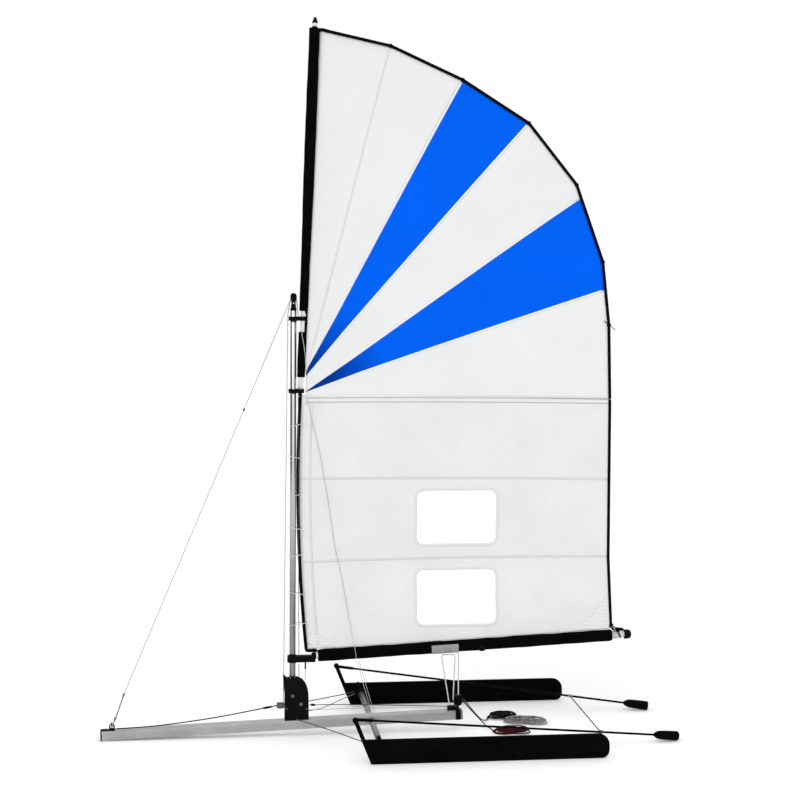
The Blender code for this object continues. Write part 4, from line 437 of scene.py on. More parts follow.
def tube_about(path, axis, radius, sides=8):
    """A tube whose rings stand on one fixed axis: for coils, and for lines that lie on the floor."""
    tangent = unit(np.gradient(path, axis=0))
    side = unit(np.cross(tangent, axis))
    return tube(path, side, np.cross(side, tangent), radius, sides)


def turns_part(centre, aim, radius, rope_radius, count, pitch):
    """A knot: a helix about the aim, radius (cos t up - sin t side) + pitch t / 2 pi along the aim."""
    aim = unit(aim)
    side, up = square_to(aim)
    t = np.linspace(0, 2 * np.pi * count, int(count * 18) + 1)[:, None]
    path = (np.asarray(centre) + radius * (np.cos(t) * up - np.sin(t) * side)
            + aim * (t / (2 * np.pi) - count / 2) * pitch)
    return tube_about(path, aim, rope_radius)


# %% Routes: a smooth curve through a few points, and evenly spaced points
def smooth_route(points, spacing):
    """A Catmull-Rom curve: a cubic between each two points whose slope at a point follows its neighbours."""
    ends = np.asarray(points, float)
    ends = np.vstack((2 * ends[0] - ends[1], ends, 2 * ends[-1] - ends[-2]))
    route = []
    for before, start, end, after in zip(ends, ends[1:], ends[2:], ends[3:]):
        count = max(1, round(float(np.linalg.norm(end - start)) / spacing))
        t = (np.arange(count) / count)[:, None]
        route.append((2 * start + (end - before) * t + (2 * before - 5 * start + 4 * end - after) * t ** 2
                      + (3 * start - before - 3 * end + after) * t ** 3) / 2)
    return np.vstack(route + [ends[-2:-1]])


def resampled(points, spacing, least=2, extra=1):
    """The same line with points evenly spaced along it."""
    points = np.asarray(points, float)
    along = reach_along(points)
    at = np.linspace(0, along[-1], max(least, int(along[-1] / spacing) + extra))
    return np.stack([np.interp(at, along, axis) for axis in points.T], axis=1)


# %% Turned shapes: a profile of radius and height carried round an axis
def revolved(profile, origin, aim, sides):
    """Rings: origin + height * aim + radius (cos a side + sin a up), for each point of the profile."""
    profile, aim = np.asarray(profile, float), unit(aim)
    ring = circle(*square_to(aim), sides)
    return np.asarray(origin) + profile[:, 1, None, None] * aim + profile[:, 0, None, None] * ring


def turned(profile, origin, aim, sides=48):
    """A solid of revolution. Its profile starts and ends on the axis."""
    profile = np.asarray(profile, float)
    return loft(revolved(profile, origin, aim, sides), reach_along(profile), 2 * np.pi * profile[:, 0].max())


def open_tube(start, end, radius, wall, sides=48):
    """A tube with open ends: outer wall, rim, inner wall and rim as one closed loop of rings."""
    run = np.asarray(end, float) - start
    reach, inner, edge = float(np.linalg.norm(run)), radius - wall, wall * 0.3
    profile = np.array(((radius - edge, 0), (radius, edge), (radius, reach / 2), (radius, reach - edge),
                        (radius - edge, reach), (inner + edge, reach), (inner, reach - edge), (inner, edge),
                        (inner + edge, 0), (radius - edge, 0)))
    return hoop(revolved(profile[:-1], start, run, sides), profile[:, 1], 2 * np.pi * radius)


# %% [markdown]
# ## Shared surface effects
# Six small node groups hold the effects that several finishes need: uneven tone, weave, braid, drawn
# grain, moulded skin and stitch lines. Each finish places them with its own sizes, in metres.

# %% Short ways to add and link nodes
def node(tree, kind, inputs=None, **settings):
    """Adds a node, sets its options, and sets or links its inputs."""
    made = tree.nodes.new(kind)
    for key, value in settings.items():
        setattr(made, key, value)
    for key, value in (inputs or {}).items():
        if isinstance(value, bpy.types.NodeSocket):
            tree.links.new(value, made.inputs[key])
        else:
            made.inputs[key].default_value = value
    return made


def maths(tree, operation, first, second=0.0, third=0.0):
    return node(tree, "ShaderNodeMath", {0: first, 1: second, 2: third}, operation=operation).outputs[0]


def blended(tree, factor, first, second):
    """Two colours mixed by a factor."""
    return node(tree, "ShaderNodeMix", {0: factor, 6: first, 7: second}, data_type="RGBA").outputs[2]


def remap(tree, value, start, end, to_start, to_end, **settings):
    """The value's range from start to end, moved to another range."""
    return node(tree, "ShaderNodeMapRange", {"Value": value, "From Min": start, "From Max": end, "To Min": to_start,
                                             "To Max": to_end}, **settings).outputs["Result"]


def start_group(name, inputs, outputs):
    """An empty node group with these named sockets: (name, kind, default value)."""
    tree = bpy.data.node_groups.new(name, "ShaderNodeTree")
    for label, kind, value in inputs:
        socket = tree.interface.new_socket(name=label, in_out="INPUT", socket_type=kind)
        if value is not None:
            socket.default_value = value
    for label, kind in outputs:
        tree.interface.new_socket(name=label, in_out="OUTPUT", socket_type=kind)
    return tree, tree.nodes.new("NodeGroupInput"), tree.nodes.new("NodeGroupOutput")


NUMBER, COLOUR, VECTOR = "NodeSocketFloat", "NodeSocketColor", "NodeSocketVector"

# %% Uneven tone: two colours mixed by soft noise
UNEVEN, given, out = start_group(
    "uneven tone", [("Vector", VECTOR, None), ("Size", NUMBER, 0.1), ("Colour", COLOUR, (1, 1, 1, 1)),
                    ("Other colour", COLOUR, (0, 0, 0, 1)), ("Least", NUMBER, 0.0), ("Most", NUMBER, 1.0)],
    [("Colour", COLOUR), ("Mask", NUMBER)])
cloud = node(UNEVEN, "ShaderNodeTexNoise", {"Vector": given.outputs["Vector"],
                                            "Scale": maths(UNEVEN, "DIVIDE", 1.0, given.outputs["Size"]),
                                            "Detail": 4.0, "Roughness": 0.55})
mask = remap(UNEVEN, cloud.outputs["Fac"], 0.32, 0.68, given.outputs["Least"], given.outputs["Most"])
clouded = blended(UNEVEN, mask, given.outputs["Colour"], given.outputs["Other colour"])
UNEVEN.links.new(clouded, out.inputs["Colour"])
UNEVEN.links.new(mask, out.inputs["Mask"])

# %% Weave: two square waves of threads, and a coarser grid of reinforcing threads
WEAVE, given, out = start_group(
    "weave", [("Vector", VECTOR, None), ("Thread", NUMBER, 0.0008), ("Grid", NUMBER, 0.006)],
    [("Height", NUMBER), ("Grid line", NUMBER)])
spread = node(WEAVE, "ShaderNodeSeparateXYZ", {0: given.outputs["Vector"]})
across, down = spread.outputs[0], spread.outputs[1]


def threads(tree, place, size):
    """A wave of height 0 to 1 that repeats once in the given size."""
    turns = maths(tree, "MULTIPLY", maths(tree, "DIVIDE", place, size), 2 * math.pi)
    return maths(tree, "MULTIPLY_ADD", maths(tree, "SINE", turns), 0.5, 0.5)


warp, weft = (threads(WEAVE, place, given.outputs["Thread"]) for place in (across, down))
WEAVE.links.new(maths(WEAVE, "MAXIMUM", warp, weft), out.inputs["Height"])
bars = [maths(WEAVE, "POWER", threads(WEAVE, place, given.outputs["Grid"]), 14.0) for place in (across, down)]
WEAVE.links.new(maths(WEAVE, "MAXIMUM", *bars), out.inputs["Grid line"])

# %% Braid: two slanting waves that cross, as the strands of a braided rope do
BRAID, given, out = start_group(
    "braid", [("Vector", VECTOR, None), ("Strand", NUMBER, 0.0016), ("Flecks", NUMBER, 0.0)],
    [("Height", NUMBER), ("Fleck", NUMBER)])
spread = node(BRAID, "ShaderNodeSeparateXYZ", {0: given.outputs["Vector"]})
along, around = spread.outputs[0], spread.outputs[1]
left = threads(BRAID, maths(BRAID, "ADD", along, around), given.outputs["Strand"])
right = threads(BRAID, maths(BRAID, "SUBTRACT", along, around), given.outputs["Strand"])
BRAID.links.new(maths(BRAID, "MULTIPLY", left, right), out.inputs["Height"])
fleck_noise = node(BRAID, "ShaderNodeTexNoise", {
    "Vector": given.outputs["Vector"], "Detail": 1.0,
    "Scale": maths(BRAID, "DIVIDE", 0.45, given.outputs["Strand"])})
BRAID.links.new(maths(BRAID, "MULTIPLY", maths(BRAID, "GREATER_THAN", fleck_noise.outputs["Fac"], 0.5),
                      given.outputs["Flecks"]), out.inputs["Fleck"])

# %% Drawn grain: noise stretched along one axis, as extruding and brushing leave it
GRAIN, given, out = start_group(
    "drawn grain", [("Vector", VECTOR, None), ("Stretch", VECTOR, (1, 1, 1)), ("Size", NUMBER, 0.002)],
    [("Height", NUMBER)])
stretched = node(GRAIN, "ShaderNodeVectorMath", {0: given.outputs["Vector"], 1: given.outputs["Stretch"]},
                 operation="MULTIPLY")
streaks = node(GRAIN, "ShaderNodeTexNoise", {"Vector": stretched.outputs[0], "Detail": 3.0,
                                             "Scale": maths(GRAIN, "DIVIDE", 1.0, given.outputs["Size"])})
GRAIN.links.new(streaks.outputs["Fac"], out.inputs["Height"])

# %% Moulded skin: the fine pebbled surface of moulded plastic and rubber
SKIN, given, out = start_group("moulded skin", [("Vector", VECTOR, None), ("Size", NUMBER, 0.0012)],
                               [("Height", NUMBER)])
pebbles = node(SKIN, "ShaderNodeTexVoronoi", {"Vector": given.outputs["Vector"],
                                              "Scale": maths(SKIN, "DIVIDE", 1.0, given.outputs["Size"])})
SKIN.links.new(pebbles.outputs["Distance"], out.inputs["Height"])

# %% Stitches: a row of short marks along U, at one or two places across V
STITCH, given, out = start_group(
    "stitches", [("Vector", VECTOR, None), ("Pitch", NUMBER, 0.004), ("Width", NUMBER, 0.01)], [("Mark", NUMBER)])
spread = node(STITCH, "ShaderNodeSeparateXYZ", {0: given.outputs["Vector"]})
dash = maths(STITCH, "GREATER_THAN", threads(STITCH, spread.outputs[0], given.outputs["Pitch"]), 0.35)
row = maths(STITCH, "GREATER_THAN", threads(STITCH, spread.outputs[1], given.outputs["Width"]), 0.93)
STITCH.links.new(maths(STITCH, "MULTIPLY", dash, row), out.inputs["Mark"])

# %% [markdown]
# ## Finishes
# One function starts a material with its plain values on the shader itself. The groups above then bring
# what changes over the surface. Cloth and ropes read their UV map, rigid parts read object coordinates.

# %% Start a material, place a group in it, and give it relief
def start_material(name, roughness, metallic=0.0, **values):
    """A Principled material. The values are shader sockets by name, with spaces as underscores."""
    made = bpy.data.materials.new(name)
    made.use_nodes = True
    tree = made.node_tree
    shader = tree.nodes["Principled BSDF"]
    shader.inputs["Roughness"].default_value = roughness
    shader.inputs["Metallic"].default_value = metallic
    for key, value in values.items():
        shader.inputs[key.replace("_", " ")].default_value = value
    return made, tree, shader


def placed(tree, group, **inputs):
    return node(tree, "ShaderNodeGroup", {key.replace("_", " "): value for key, value in inputs.items()},
                node_tree=group)


def uv_of(tree):
    return node(tree, "ShaderNodeUVMap", uv_map="UVMap").outputs[0]


def object_of(tree):
    return node(tree, "ShaderNodeTexCoord").outputs["Object"]


def dye(tree, shader, colour):
    tree.links.new(colour, shader.inputs["Base Color"])


def relief(tree, shader, height, strength, distance):
    bump = node(tree, "ShaderNodeBump", {"Height": height, "Strength": strength, "Distance": distance})
    tree.links.new(bump.outputs[0], shader.inputs["Normal"])


def rgba(colour, times=1.0):
    return (*(channel * times for channel in colour), 1.0)


def uneven(tree, place, colour, times, size):
    """The colour, clouded with the same colour times a factor."""
    return placed(tree, UNEVEN, Vector=place, Size=size, Colour=rgba(colour), Other_colour=rgba(colour, times))


# %% Sailcloth: tight weave, a faint ripstop grid, tone that drifts over the panel, and painted shade near the throat
def sailcloth(name, colour, drift, grid_tone, sheen=0.12, gloss=0.25, patch=0.22, painted_throat_shade=None):
    made, tree, shader = start_material(name, 0.55, Sheen_Weight=sheen, Specular_IOR_Level=gloss)
    uv = uv_of(tree)
    tone = uneven(tree, uv, colour, drift, patch)
    weave = placed(tree, WEAVE, Vector=uv, Thread=0.0009, Grid=0.0075)
    lined = blended(tree, maths(tree, "MULTIPLY", weave.outputs["Grid line"], 0.35), tone.outputs["Colour"],
                    rgba(colour, grid_tone))
    # Painted shade: near the throat the cloth is mixed towards a dark navy, three quarters of the way within 0.10 m
    # of it, fading out by 0.27 m.
    if painted_throat_shade:
        reach = node(tree, "ShaderNodeVectorMath", {0: uv, 1: (*THROAT, 0.0)}, operation="DISTANCE")
        shade = remap(tree, reach.outputs["Value"], 0.10, 0.27, 0.75, 0.0)
        lined = blended(tree, shade, lined, rgba(painted_throat_shade))
    dye(tree, shader, lined)
    puckers = node(tree, "ShaderNodeTexNoise", {"Vector": uv, "Scale": 26.0, "Detail": 3.0})
    height = maths(tree, "MULTIPLY_ADD", weave.outputs["Height"], 0.12, puckers.outputs["Fac"])
    relief(tree, shader, height, 0.10, 0.002)
    return made


WHITE_SAIL = (0.875, 0.880, 0.885)
BLUE_SAIL = (0.0002, 0.131, 0.965)
white_cloth = sailcloth("white_sailcloth", WHITE_SAIL, 0.965, 0.90)
lower_cloth = sailcloth("white_sailcloth_lower", (0.862, 0.862, 0.862), 0.935, 0.93, patch=0.13)
# The blue gores get painted shade near the throat.
blue_cloth = sailcloth("blue_sailcloth", BLUE_SAIL, 0.90, 0.86, sheen=0.0, gloss=0.02,
                       painted_throat_shade=(0.0, 0.008, 0.10))
hem_cloth = sailcloth("window_hem", (0.80, 0.805, 0.81), 0.96, 0.92)


# %% Woven black cloth of the sleeves, and webbing
def woven(name, colour, thread, lift, sheen, gloss):
    made, tree, shader = start_material(name, 0.85, Sheen_Weight=sheen, Sheen_Roughness=0.5,
                                        Specular_IOR_Level=gloss)
    uv = uv_of(tree)
    tone = uneven(tree, uv, colour, lift, 0.05)
    weave = placed(tree, WEAVE, Vector=uv, Thread=thread, Grid=thread * 9)
    dye(tree, shader, blended(tree, maths(tree, "MULTIPLY", weave.outputs["Height"], 0.4), tone.outputs["Colour"],
                              rgba(colour, 1.5)))
    relief(tree, shader, weave.outputs["Height"], 0.35, thread * 0.5)
    return made


black_cloth = woven("black_sleeve_cloth", (0.0016, 0.0016, 0.0017), 0.0011, 2.2, 0.004, 0.012)
grey_webbing = woven("grey_webbing", (0.34, 0.345, 0.35), 0.0022, 0.62, 0.1, 0.2)


# %% Braided ropes, plain and flecked
def braided(name, colour, strand=0.0016, flecks=0.0, fleck_colour=(0.5, 0.5, 0.5), lift=1.25, sheen=0.15,
            gloss=0.25):
    made, tree, shader = start_material(name, 0.8, Sheen_Weight=sheen, Specular_IOR_Level=gloss)
    uv = uv_of(tree)
    tone = uneven(tree, uv, colour, lift, 0.02)
    braid = placed(tree, BRAID, Vector=uv, Strand=strand, Flecks=flecks)
    dye(tree, shader, blended(tree, braid.outputs["Fleck"], tone.outputs["Colour"], rgba(fleck_colour)))
    relief(tree, shader, braid.outputs["Height"], 0.5, strand * 0.35)
    return made


white_rope = braided("white_rope", (0.74, 0.74, 0.73), 0.0014, lift=0.85)
grey_rope = braided("grey_flecked_rope", (0.30, 0.305, 0.31), 0.0016, 0.8, (0.06, 0.06, 0.062))
pale_rope = braided("pale_grey_rope", (0.50, 0.51, 0.52), 0.0014, 0.4, (0.30, 0.30, 0.31))
black_rope = braided("black_rope", (0.003, 0.003, 0.0032), 0.0018, sheen=0.01, gloss=0.03)
speckled_rope = braided("black_speckled_rope", (0.003, 0.003, 0.0032), 0.0018, 0.5, (0.035, 0.035, 0.036),
                        sheen=0.01, gloss=0.03)
red_rope = braided("dark_red_rope", (0.070, 0.0055, 0.018), 0.0018, 0.6, (0.012, 0.003, 0.005), sheen=0.03,
                   gloss=0.05)
dark_flecked_rope = braided("dark_flecked_rope", (0.085, 0.086, 0.088), 0.0017, 0.7, (0.016, 0.016, 0.016),
                            sheen=0.03, gloss=0.08)
wire_rope = braided("stay_wire", (0.33, 0.335, 0.34), 0.0009)


# %% Metals: anodised tube, extruded bar, painted tube and steel
def metal(name, colour, roughness, stretch, metallic=1.0, streak=0.82, darker_low=None, **values):
    made, tree, shader = start_material(name, roughness, metallic, **values)
    place = object_of(tree)
    grain = placed(tree, GRAIN, Vector=place, Stretch=stretch, Size=0.0016)
    wide = uneven(tree, place, colour, streak, 0.07)
    drawn = blended(tree, maths(tree, "MULTIPLY", grain.outputs["Height"], 0.35), wide.outputs["Colour"],
                    rgba(colour, streak * 0.9))
    # Darker towards the bottom: below the first height the colour is times the third value, above the second it is
    # its own, blended between.
    if darker_low:
        height = node(tree, "ShaderNodeSeparateXYZ", {0: place}).outputs[2]
        drawn = blended(tree, remap(tree, height, darker_low[0], darker_low[1], 1.0, 0.0), drawn, rgba(colour, darker_low[2]))
    dye(tree, shader, drawn)
    rough = remap(tree, grain.outputs["Height"], 0.0, 1.0, roughness * 0.8, min(roughness * 1.3, 1.0))
    tree.links.new(rough, shader.inputs["Roughness"])
    relief(tree, shader, grain.outputs["Height"], 0.12, 0.0003)
    return made


# The mast darkens towards its bottom: fully below 0.45 m, not at all above 0.95 m.
mast_metal = metal("anodised_mast", (0.80, 0.805, 0.815), 0.20, (1.0, 1.0, 0.02), streak=0.93,
                   darker_low=(0.45, 0.95, 0.36))
cross_metal = metal("anodised_crossbar", (0.30, 0.305, 0.315), 0.38, (1.0, 0.02, 1.0))
bar_metal = metal("extruded_bar", (0.47, 0.473, 0.477), 0.42, (0.015, 1.0, 1.0), metallic=0.6)
white_tube = metal("white_tube", (0.83, 0.835, 0.84), 0.32, (0.05, 1.0, 0.05), metallic=0.0, streak=0.95,
                   Coat_Weight=0.3)
steel = metal("steel_bolts", (0.15, 0.152, 0.155), 0.38, (1.0, 1.0, 1.0))
rod_metal = metal("black_rod", (0.0022, 0.0022, 0.0023), 0.45, (0.03, 1.0, 1.0), metallic=0.0, streak=0.7,
                  Specular_IOR_Level=0.03)


# %% Plastics, rubber and painted board
def moulded(name, colour, roughness, pebble, lift=1.7, patch=0.04, **values):
    made, tree, shader = start_material(name, roughness, 0.0, **values)
    place = object_of(tree)
    tone = uneven(tree, place, colour, lift, patch)
    dye(tree, shader, tone.outputs["Colour"])
    skin = placed(tree, SKIN, Vector=place, Size=pebble)
    rough = remap(tree, tone.outputs["Mask"], 0.0, 1.0, roughness * 0.85, min(1.0, roughness * 1.2))
    tree.links.new(rough, shader.inputs["Roughness"])
    relief(tree, shader, skin.outputs["Height"], 0.15, pebble * 0.4)
    return made


black_plastic = moulded("black_plastic", (0.0020, 0.0020, 0.0021), 0.45, 0.0012, 2.0, Specular_IOR_Level=0.06)
black_rubber = moulded("black_rubber", (0.0017, 0.0017, 0.0018), 0.60, 0.0016, Specular_IOR_Level=0.03)
black_board = moulded("black_board", (0.0011, 0.0011, 0.0012), 0.40, 0.0030, 2.4, 0.09, Specular_IOR_Level=0.02)
grey_plastic = moulded("grey_plastic", (0.30, 0.305, 0.31), 0.42, 0.0012, 0.7)
dark_grey_plastic = moulded("dark_grey_plastic", (0.13, 0.132, 0.135), 0.42, 0.0012, 0.7, Specular_IOR_Level=0.25)


# %% Clear window film: thin, glossy, with faint scuffs
def film_material():
    made, tree, shader = start_material("clear_film", 0.10, 0.0, Specular_IOR_Level=0.25, Alpha=0.10)
    uv = uv_of(tree)
    tone = placed(tree, UNEVEN, Vector=uv, Size=0.03, Colour=(0.96, 0.97, 0.975, 1),
                  Other_colour=(0.90, 0.92, 0.93, 1))
    dye(tree, shader, tone.outputs["Colour"])
    scuffs = placed(tree, GRAIN, Vector=uv, Stretch=(1.0, 0.25, 1.0), Size=0.012)
    clear = remap(tree, scuffs.outputs["Height"], 0.3, 0.8, 0.05, 0.20)
    tree.links.new(clear, shader.inputs["Alpha"])
    relief(tree, shader, scuffs.outputs["Height"], 0.2, 0.001)
    made.surface_render_method = "BLENDED"
    return made


clear_film = film_material()

# %% [markdown]
# ## The rigid parts that stay
# The plates, fittings and plugs of the skeleton have their right shape. They keep their meshes and get a
# finish, with live modifiers that weld the loose triangles, round the edges a little and shade smoothly.

# %% Shade by angle: a small geometry node group
smooth_tree = bpy.data.node_groups.new("smooth by angle", "GeometryNodeTree")
smooth_tree.interface.new_socket(name="Geometry", in_out="INPUT", socket_type="NodeSocketGeometry")
smooth_tree.interface.new_socket(name="Geometry", in_out="OUTPUT", socket_type="NodeSocketGeometry")
mesh_in, mesh_out = smooth_tree.nodes.new("NodeGroupInput"), smooth_tree.nodes.new("NodeGroupOutput")
all_smooth = node(smooth_tree, "GeometryNodeSetShadeSmooth", {"Geometry": mesh_in.outputs[0], "Shade Smooth": True},
                  domain="FACE")
edge_angle = smooth_tree.nodes.new("GeometryNodeInputMeshEdgeAngle")
gentle = node(smooth_tree, "FunctionNodeCompare", {0: edge_angle.outputs[0], 1: math.radians(32)},
              data_type="FLOAT", operation="LESS_THAN")
by_angle = node(smooth_tree, "GeometryNodeSetShadeSmooth", {"Geometry": all_smooth.outputs[0],
                                                            "Shade Smooth": gentle.outputs[0]}, domain="EDGE")
smooth_tree.links.new(by_angle.outputs[0], mesh_out.inputs[0])


def keep_node(name, material, edge=0.0005):
    """Gives a node of the skeleton its finish, and modifiers that soften its edges."""
    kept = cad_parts[name]
    kept.data.materials.clear()
    kept.data.materials.append(material)
    weld = kept.modifiers.new("weld", "WELD")
    weld.merge_threshold = 0.00001
    if edge:
        bevel = kept.modifiers.new("edges", "BEVEL")
        bevel.width, bevel.segments, bevel.limit_method, bevel.angle_limit = edge, 2, "ANGLE", math.radians(40)
    shade = kept.modifiers.new("shade", "NODES")
    shade.node_group = smooth_tree


KEPT = {
    black_plastic: ("bar_front_cap", "crossbar_hub_near", "crossbar_hub_far", "foot_cheek_near", "foot_cheek_far",
                    "mast_heel", "masthead_fitting", "sheet_strap", "sheet_block", "gooseneck",
                    "gaff_collar_lower", "gaff_collar_upper", "gaff_head_cap"),
    black_board: ("leeboard_near", "leeboard_far"),
    steel: ("mast_pivot_bolt", "mast_lock_bolt"),
    grey_plastic: ("bar_aft_cap",),
    dark_grey_plastic: ("foot_fairlead",),
    bar_metal: ("deck_bar",),
}
for kept_material, kept_names in KEPT.items():
    for kept_name in kept_names:
        keep_node(kept_name, kept_material, 0.0002 if kept_name in ("deck_bar", "masthead_fitting") else 0.0004)

# %% [markdown]
# ## Tubes, rods, grips and wheels
# A turned or drawn part shows its facets first, so the round ones are built again with finer sides. Each
# one takes the same axis and radius as the node that it replaces.

# %% Mast, boom, gaff and crossbar
PIVOT = centre_of("crossbar")
crossbar_reach = (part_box("crossbar")[1].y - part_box("crossbar")[0].y) / 2
TUBES = (
    ("mast_tube_round", (0, 0, mast_low.z), (0, 0, mast_high.z), MAST_RADIUS, 0.0015, "rig_base", mast_metal,
     "aluminium", "mast_tube"),
    ("boom_tube_round", boom_at(BOOM_FRONT), boom_at(BOOM_FRONT) + BOOM_AIM * BOOM_LENGTH, BOOM_RADIUS, 0.0014,
     "boom", white_tube, "white_tube", "boom_tube"),
    ("gaff_tube_round", gaff_at(0), gaff_at(GAFF_LENGTH), GAFF_RADIUS, 0.0013, "gaff", white_tube, "white_tube",
     "gaff_tube"),
    ("crossbar_round", PIVOT - (0, crossbar_reach, 0), PIVOT + (0, crossbar_reach, 0), 0.009, 0.0015, "rig_base",
     cross_metal, "aluminium", "crossbar"),
)
for name, start, end, radius, wall, body, material, slot, node_name in TUBES:
    add_piece(name, [open_tube(start, end, radius, wall)], body, material, [node_name])

# %% Boom end cap
boom_end = boom_at(BOOM_FRONT) + BOOM_AIM * (BOOM_LENGTH + GAP)
CAP_LENGTH, CAP_BORE, CAP_PLUG = 0.023, 0.0083, 0.040
cap_shares = ((0.40, 0.985), (0.62, 0.94), (0.86, 0.80), (0.96, 0.62), (1.0, 0.42))
cap_profile = [(0, CAP_LENGTH), *(np.array(cap_shares) * (CAP_RADIUS, CAP_LENGTH)), (CAP_RADIUS, 0.001),
               (CAP_RADIUS - 0.0008, 0), (CAP_BORE, 0), (CAP_BORE, -CAP_PLUG), (0, -CAP_PLUG)]
add_piece("boom_end_cap_round", [turned(cap_profile, boom_end, BOOM_AIM)], "boom", black_plastic,
          ["boom_end_cap"])


# %% Push rods with their eyes, and the grips
ROD_REACH, ROD_END_SPACING, ROD_RADIUS = 1.1775, 0.346, 0.0033
SOCKET_RADIUS, SOCKET_LENGTH, GRIP_LENGTH, GRIP_RADIUS = 0.0048, 0.055, 0.080, 0.0145
LEVER_TOP = PIVOT + (-0.0805, 0, 0.089)
ROD_EYE_Y = BOARD_SPACING / 2 - 0.003 - GAP - 0.005
GRIP_SHOULDER = GRIP_LENGTH * 0.08
ROD_SHORT = 0.0206
rod_end_z = GRIP_RADIUS
for _ in range(4):
    slope = math.atan2(LEVER_TOP[2] - rod_end_z, ROD_REACH - LEVER_TOP[0])
    rod_end_z = GRIP_RADIUS * math.cos(slope) - GRIP_SHOULDER * math.sin(slope)


def rod_line(side):
    """The rod's start at the lever and its end in the grip, near side -1 or far side 1."""
    return (np.array((LEVER_TOP[0], side * ROD_EYE_Y, LEVER_TOP[2])),
            np.array((ROD_REACH, side * ROD_END_SPACING / 2, rod_end_z)))


def rod_parts(side):
    """The rod: a thin bar with a thicker socket at its front, an eye about the lever's pin, and the pin."""
    start, end = rod_line(side)
    aim = unit(end - start)
    length = float(np.linalg.norm(end - aim * ROD_SHORT - start))
    bar = [(0, length), (ROD_RADIUS, length), (ROD_RADIUS, SOCKET_LENGTH), (SOCKET_RADIUS, SOCKET_LENGTH - 0.002),
           (SOCKET_RADIUS, 0), (0, 0)]
    eye = [(0, -0.005), (0.0052, -0.005), (0.0058, -0.0042), (0.0058, 0.0042), (0.0052, 0.005), (0, 0.005)]
    reach = BOARD_SPACING / 2 + 0.003 - ROD_EYE_Y
    pin = [(0, 0), (0.003, 0), (0.003, reach), (0, reach)]
    return [turned(bar, start, aim, 24), turned(eye, start, (0, 1, 0), 32), turned(pin, start, (0, side, 0), 20)]


grip_profile = [(0, 1.0), (0.60, 1.0), (0.84, 0.992), (0.95, 0.972), (1.0, 0.92), (0.995, 0.80), (0.985, 0.55),
                (0.955, 0.36), (0.90, 0.22), (0.78, 0.13), (0.62, 0.073), (0.45, 0.022), (0.379, 0.0),
                (0.249, 0.0), (0.249, 0.30), (0.249, 0.75), (0, 0.75)]
for word, side in (("near", -1), ("far", 1)):
    start, end = rod_line(side)
    aim = unit(end - start)
    add_piece(f"push_rod_round_{word}", rod_parts(side), f"rod_{word}", rod_metal,
              [f"push_rod_{word}"])
    profile = np.array(grip_profile) * (GRIP_RADIUS, GRIP_LENGTH)
    profile[13:16, 0] = ROD_RADIUS + GAP
    add_piece(f"grip_round_{word}", [turned(profile, end - aim * GRIP_LENGTH, aim, 40)], f"rod_{word}",
              black_rubber, [f"grip_{word}"])


# %% Grooved wheels of the masthead and of the sheet block
def ring_part(profile, origin, aim, step, round_length, sides=32):
    """A profile that never meets the axis, carried round it and closed: a solid ring."""
    return hoop(revolved(profile, origin, aim, sides), np.arange(len(profile) + 1) * step, round_length)


def wheel(name, centre, width, body, node_name):
    """A ring with two flat sides, a bore, and a parabola for the groove."""
    half, bore, rim = width / 2, 0.0025, WHEEL_RADIUS * 0.98
    groove = [(WHEEL_RADIUS * (0.78 + 0.20 * t * t), half * 0.86 * t) for t in np.linspace(1, -1, 9)]
    profile = [(bore, half), (rim, half), *groove, (rim, -half), (bore, -half)]
    part = ring_part(profile, centre, (0, -1, 0), 0.001, 2 * np.pi * WHEEL_RADIUS)
    add_piece(name, [part], body, grey_plastic, [node_name])


HEAD_SHEAVE, SHEET_SHEAVE = centre_of("masthead_sheave"), centre_of("sheet_sheave")
wheel("masthead_wheel", HEAD_SHEAVE, 0.0065, "head_sheave", "masthead_sheave")
wheel("sheet_wheel", SHEET_SHEAVE, 0.0055, "block_sheave", "sheet_sheave")

# %% [markdown]
# ## The sail's gores
# The upper sail is a fan of five gores, white and blue, that run from the luff near the throat to the
# leech. A gore is a ruled surface: a straight run from a point of its short inner edge to a point of its
# outer edge, with both edges followed at the same pace. Its depth then comes from the sail's belly.

# %% Seams between the gores, and one gore
SEAM_FEET = THROAT_Z + np.array((0.0627, 0.0502, 0.0069, 0.0069)) * FAN_HEIGHT
SEAM_SHARES = np.array(((0.501, 0.874), (0.717, 0.759), (0.878, 0.548), (0.976, 0.296)))
SEAM_ENDS = THROAT + SEAM_SHARES * (SAIL_WIDTH, FAN_HEIGHT)
FEET = back_edge(SEAM_FEET)


def along_leech(first, last, spacing=0.012):
    """Points on the leech between two of its points, through the corners that lie between them."""
    lengths, runs = reach_along(LEECH), np.diff(LEECH, axis=0)

    def reach(point):
        t = np.clip(((point - LEECH[:-1]) * runs).sum(1) / (runs ** 2).sum(1), 0, 1)
        off = np.linalg.norm(LEECH[:-1] + runs * t[:, None] - point, axis=1)
        best = int(np.argmin(off))
        return lengths[best] + t[best] * (lengths[best + 1] - lengths[best])

    low, high = reach(first), reach(last)
    at = np.linspace(low, high, max(8, int((high - low) / spacing)))
    at = np.sort(np.concatenate((at, lengths[(lengths > low + 1e-4) & (lengths < high - 1e-4)])))
    return np.stack([np.interp(at, lengths, LEECH[:, axis]) for axis in (0, 1)], axis=1)


def on_sail(plane, offset=0.0):
    """Points (x, z) of the sail's plane laid on the sail, moved off its surface by offset."""
    x, z = plane[..., 0], plane[..., 1]
    return np.stack((x, sail_y(x, z) + offset, z), -1)


def cloth_part(plane, offset=0.0):
    """A grid of points laid on the sail. Its UV map is (x, z) in metres."""
    faces, _, _ = grid(*plane.shape[:2])
    return on_sail(plane, offset).reshape(-1, 3), faces, plane.reshape(-1, 2)[faces], False


